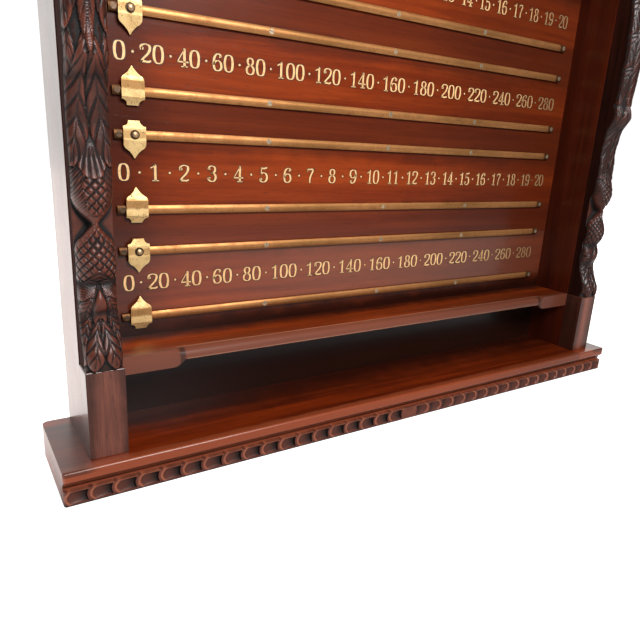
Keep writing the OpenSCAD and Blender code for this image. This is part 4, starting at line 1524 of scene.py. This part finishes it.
# The numerals' strokes, from the foot at 0 to the head at NUMERAL_HEIGHT, about an upright at 0
NUMERAL_HEIGHT = 22.0
NUMERALS: dict[str, tuple[Stroke, ...]] = {
    "0": (Stroke(((0, 21.3), (-3.6, 19.2), (-4.9, 11), (-3.6, 2.8), (0, 0.7), (3.6, 2.8), (4.9, 11),
                  (3.6, 19.2)), 1.65, 0.6, True),),
    "1": (Stroke(((0.6, 20.6), (0.6, 1.2)), 1.6), Stroke(((0.2, 21.0), (-1.6, 18.6), (-4.2, 17.2)), 0.9, 0.7),
          Stroke(((-2.6, 0.7), (3.8, 0.7)), 0.6, 0.65)),
    "2": (ball(-3.6, 16.3, 1.7),
          Stroke(((-4.9, 16.0), (-4.0, 19.8), (0.2, 21.4), (4.3, 19.6), (4.6, 15.6), (2.3, 10.4),
                  (-1.8, 5.6), (-4.7, 1.6)), 1.6, 0.62),
          Stroke(((-4.9, 1.3), (-1.5, 1.5), (2.6, 1.2), (4.9, 2.3)), 1.1, 1.15)),
    "3": (ball(-3.4, 17.5, 1.5),
          Stroke(((-4.5, 17.8), (-2.8, 20.8), (0.3, 21.4), (3.6, 19.4), (3.5, 14.6), (0.4, 11.9),
                  (-1.2, 11.8)), 1.55, 0.6),
          Stroke(((-0.6, 11.9), (3.0, 10.7), (4.6, 6.6), (3.2, 2.0), (0, 0.7), (-3.5, 1.9),
                  (-4.7, 4.6)), 1.65, 0.62), ball(-3.6, 5.0, 1.7)),
    "4": (Stroke(((1.6, 20.6), (-5.9, 6.6)), 0.62, 0.62), Stroke(((-5.9, 6.2), (5.9, 6.2)), 0.8, 0.85),
          Stroke(((1.9, 20.8), (1.9, 1.2)), 1.65), Stroke(((-1.2, 0.7), (5.0, 0.7)), 0.6, 0.65)),
    "5": (Stroke(((-2.9, 20.5), (0.5, 20.1), (4.0, 21.0)), 1.0, 1.15),
          Stroke(((-3.2, 20.6), (-3.6, 12.4)), 0.66, 0.66),
          Stroke(((-3.6, 12.4), (-0.6, 14.0), (3.2, 12.4), (4.7, 7.4), (3.2, 2.2), (-0.3, 0.7),
                  (-3.6, 1.9), (-4.6, 4.6)), 1.65, 0.62), ball(-3.5, 5.0, 1.7)),
    "6": (ball(3.0, 17.9, 1.5),
          Stroke(((4.1, 18.6), (2.4, 20.8), (-0.4, 21.1), (-3.6, 17.4), (-4.8, 9.6), (-3.6, 2.4),
                  (0, 0.7), (3.5, 2.4), (4.6, 6.6), (3.2, 11.4), (0, 13.0), (-3.2, 11.2),
                  (-4.4, 8.6)), 1.6, 0.6)),
    "7": (Stroke(((-4.6, 17.2), (-4.5, 20.6)), 0.55, 0.55),
          Stroke(((-4.4, 20.2), (0, 20.5), (4.8, 20.6)), 1.1, 1.15),
          Stroke(((4.6, 20.2), (1.4, 13.2), (-0.5, 6.6), (-0.6, 1.6)), 1.35, 1.2)),
    "8": (Stroke(((0, 21.3), (-3.0, 19.6), (-3.2, 15.0), (0, 11.8), (3.2, 15.0), (3.0, 19.6)), 1.45, 0.66,
                 True),
          Stroke(((0, 11.8), (-3.7, 9.6), (-4.5, 5.6), (-3.2, 2.0), (0, 0.7), (3.2, 2.0), (4.5, 5.6),
                  (3.7, 9.6)), 1.6, 0.66, True)),
}


def upside_down(stroke: Stroke) -> Stroke:
    """Turns a stroke of a numeral half round about the numeral's middle."""
    return replace(stroke, points=tuple((-x, NUMERAL_HEIGHT - z) for x, z in stroke.points))


NUMERALS["9"] = tuple(upside_down(stroke) for stroke in NUMERALS["6"])

# Each row from the bottom: what it counts, and the height of its middle above the base
ROW_PLAN = ((Count.TWENTIES, 190.0), (Count.ONES, 336.5), (Count.TWENTIES, 481.0), (Count.ONES, 627.5))

# Where the 0 of a row stands, from the outer left of the case, and a row's last number
ROW_ZERO = {Count.ONES: 83.8, Count.TWENTIES: 84.5}
ROW_LAST = {Count.ONES: 20, Count.TWENTIES: 280}


def dot_tree() -> Tree:
    """Builds the tree that puts a round dot on every point of its host.

    Returns:
        The tree.
    """
    tree = Tree("dots", {"Radius": "NodeSocketFloat", "Sides": "NodeSocketInt",
                         "Material": "NodeSocketMaterial"})
    bench, given = tree.bench, tree.given.outputs
    disc = bench.put("GeometryNodeMeshCircle", {"Vertices": given["Sides"], "Radius": given["Radius"]},
                     fill_type="NGON")
    set_out = bench.put("GeometryNodeInstanceOnPoints",
                        {"Points": given["Geometry"], "Instance": disc.outputs[0],
                         "Rotation": (math.pi / 2, 0.0, 0.0)})
    tree.close(set_out.outputs[0])
    return tree


@dataclass
class NumberRow:
    """One row of gold numbers between a pair of rails, with dots midway."""

    row: int
    count: Count
    height: float
    zero: float
    digit: float = 15.5
    gap: float = 17.0
    ones_pitch: Point = (40.27, 42.34)
    ones_middle: int = 10
    ones_squeeze: float = 0.88
    ones_step: float = 0.87
    twenties_step: float = 1.03
    stretch: float = 1.16
    grown: float = 0.95
    dot_radius: float = 1.5
    dot_sides: int = 20
    proud: float = 0.06

    def places(self) -> list[tuple[str, float]]:
        """Gives the row's numbers and where they stand.

        Returns:
            Each number with its place from the middle of the board.
        """
        values = range(0, ROW_LAST[self.count] + 1, self.count.value)
        if self.count is Count.ONES:
            (below, above), half = self.ones_pitch, self.ones_middle
            return [(str(k), self.zero + below * min(k, half) + above * max(k - half, 0)) for k in values]
        out, x, last = [], self.zero, 0.0
        for value in values:
            wide = self.digit * len(str(value))
            if out:
                x += (last + wide) / 2 + self.gap
            out.append((str(value), x))
            last = wide
        return out

    def dots(self) -> list[float]:
        """Gives where the dots stand, in the middle of the gaps.

        Returns:
            Each dot's place from the middle of the board.
        """
        places = self.places()
        out = []
        for (left, x0), (right, x1) in zip(places, places[1:]):
            edge0 = x0 + self.digit * (len(left) - 1) / 2
            edge1 = x1 - self.digit * (len(right) - 1) / 2
            out.append((edge0 + edge1) / 2)
        return out

    def paint_layer(self, name: str, grown: float, proud: float,
                    finish: bpy.types.Material) -> bpy.types.Object:
        """Paints all the digits of the row once.

        Args:
            name: The layer's name.
            grown: How much wider the strokes are than the gold.
            proud: How far the layer lies in front of the panel.
            finish: The paint.

        Returns:
            The layer.
        """
        ones = self.count is Count.ONES
        step = self.digit * (self.ones_step if ones else self.twenties_step)
        foot = self.height - NUMERAL_HEIGHT / 2
        points, faces = [], []
        for word, x in self.places():
            squeeze = self.ones_squeeze if ones and len(word) > 1 else 1.0
            for k, digit in enumerate(word):
                centre = x + (k - (len(word) - 1) / 2) * step
                for stroke in NUMERALS[digit]:
                    flat, rings = stroke.strip(grown, self.stretch)
                    first = len(points)
                    points += [(centre + px * squeeze, PANEL_Y - proud, foot + pz) for px, pz in flat]
                    faces += [[first + v for v in ring] for ring in rings]
        return mesh_object(name, np.array(points), faces, finish, smooth=False)

    def build(self, tree: Tree, gold: bpy.types.Material, outline: bpy.types.Material) -> None:
        """Paints the row: dark outlines first, then the gold.

        Args:
            tree: The tree that makes the dots.
            gold: The gold of the numbers.
            outline: The dark paint round them.
        """
        coats = (("outline", self.grown, self.proud, outline), ("gold", 0.0, 2 * self.proud, gold))
        for word, grown, proud, finish in coats:
            host = bpy.data.meshes.new("dot_host")
            spots = [(x * MM, (PANEL_Y - proud) * MM, self.height * MM) for x in self.dots()]
            host.from_pydata(spots, [], [])
            name = f"row{self.row}_numbers_{word}"
            radius = (self.dot_radius + grown) * MM
            dots = tree.run(f"{name}_dots", host, Radius=radius, Sides=self.dot_sides, Material=finish)
            digits = self.paint_layer(name, grown, proud, finish)
            settle(join_meshes(name, [digits, dots]), "case", "mahogany")
            LOG.info("painted %s", name)


# Brass work


class Level(Enum):
    """The two rails of a row, with how far the darker band on a pointer's plate, a painted reflection of
    its bend, lies above the rail's middle, how far the band reaches, and how strong it is.
    """

    LOWER = (8.0, 8.0, 0.8)
    UPPER = (0.0, 6.0, 0.6)


@dataclass
class BrassWork:
    """The rails, pointers, knobs, clips and screws, dressed where they are."""

    rows: tuple[int, ...] = (1, 2, 3, 4)
    ring: Point = (1.6, 2.8)
    plate_ease: float = 0.25

    def plate(self, row: int, level: Level) -> bpy.types.Material:
        """Makes the brass of one pointer's plate.

        Args:
            row: The row, counted from the bottom.
            level: The rail that the pointer is on.

        Returns:
            The material.
        """
        end = level.name.lower()
        rise, reach, band = level.value
        low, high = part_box(f"row{row}_{end}_rail")
        middle = (low.z + high.z) / 2 / MM + rise
        return Brass(f"pointer_brass_{end}_{row}", "#f3d092", "#a06c36", middle, reach, band,
                     roughness=0.52, metallic=0.7).material()

    def dress(self) -> None:
        """Dresses all the metal."""
        rail, clip = RAIL_BRASS.material(), CLIP_BRASS.material()
        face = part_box("row1_upper_knob")[0].y / MM
        ring = Shade("Y", face + self.ring[0], face + self.ring[1], 0.92, "#21140a")
        knob = Brass("knob_brass", "#d8b48c", "#a37a52", fleck=0.6, roughness=0.42, shades=(ring,)).material()
        for row in self.rows:
            for level in Level:
                name = f"row{row}_{level.name.lower()}"
                dress_node(f"{name}_rail", rail)
                dress_node(f"{name}_clip", clip)
                dress_node(f"{name}_pointer", self.plate(row, level), self.plate_ease)
            dress_node(f"row{row}_upper_knob", knob)
            LOG.info("dressed the brass of row %d", row)
        steel = SCREW_STEEL.material()
        for node in ("rail_screws", "base_screws", "batten_screws"):
            dress_node(node, steel)


def main() -> None:
    """Builds the studio and the board, piece by piece."""
    logging.basicConfig(level=logging.INFO, format="%(name)s: %(message)s")
    Studio().build()
    Case().dress()
    flank = SHADED_FLANK_WOOD.material()
    RibbonStrip().build()
    carving = PILASTER_WOOD.material()
    for side in Side:
        CarvedPilaster(side).build(carving, flank)
    gold, outline = GILDING.material(), OUTLINE.material()
    dots = dot_tree()
    for row, (count, height) in enumerate(ROW_PLAN, 1):
        NumberRow(row, count, BASE_TOP + height, ROW_ZERO[count] - HALF_CASE).build(dots, gold, outline)
    BrassWork().dress()


if __name__ == "__main__":
    main()
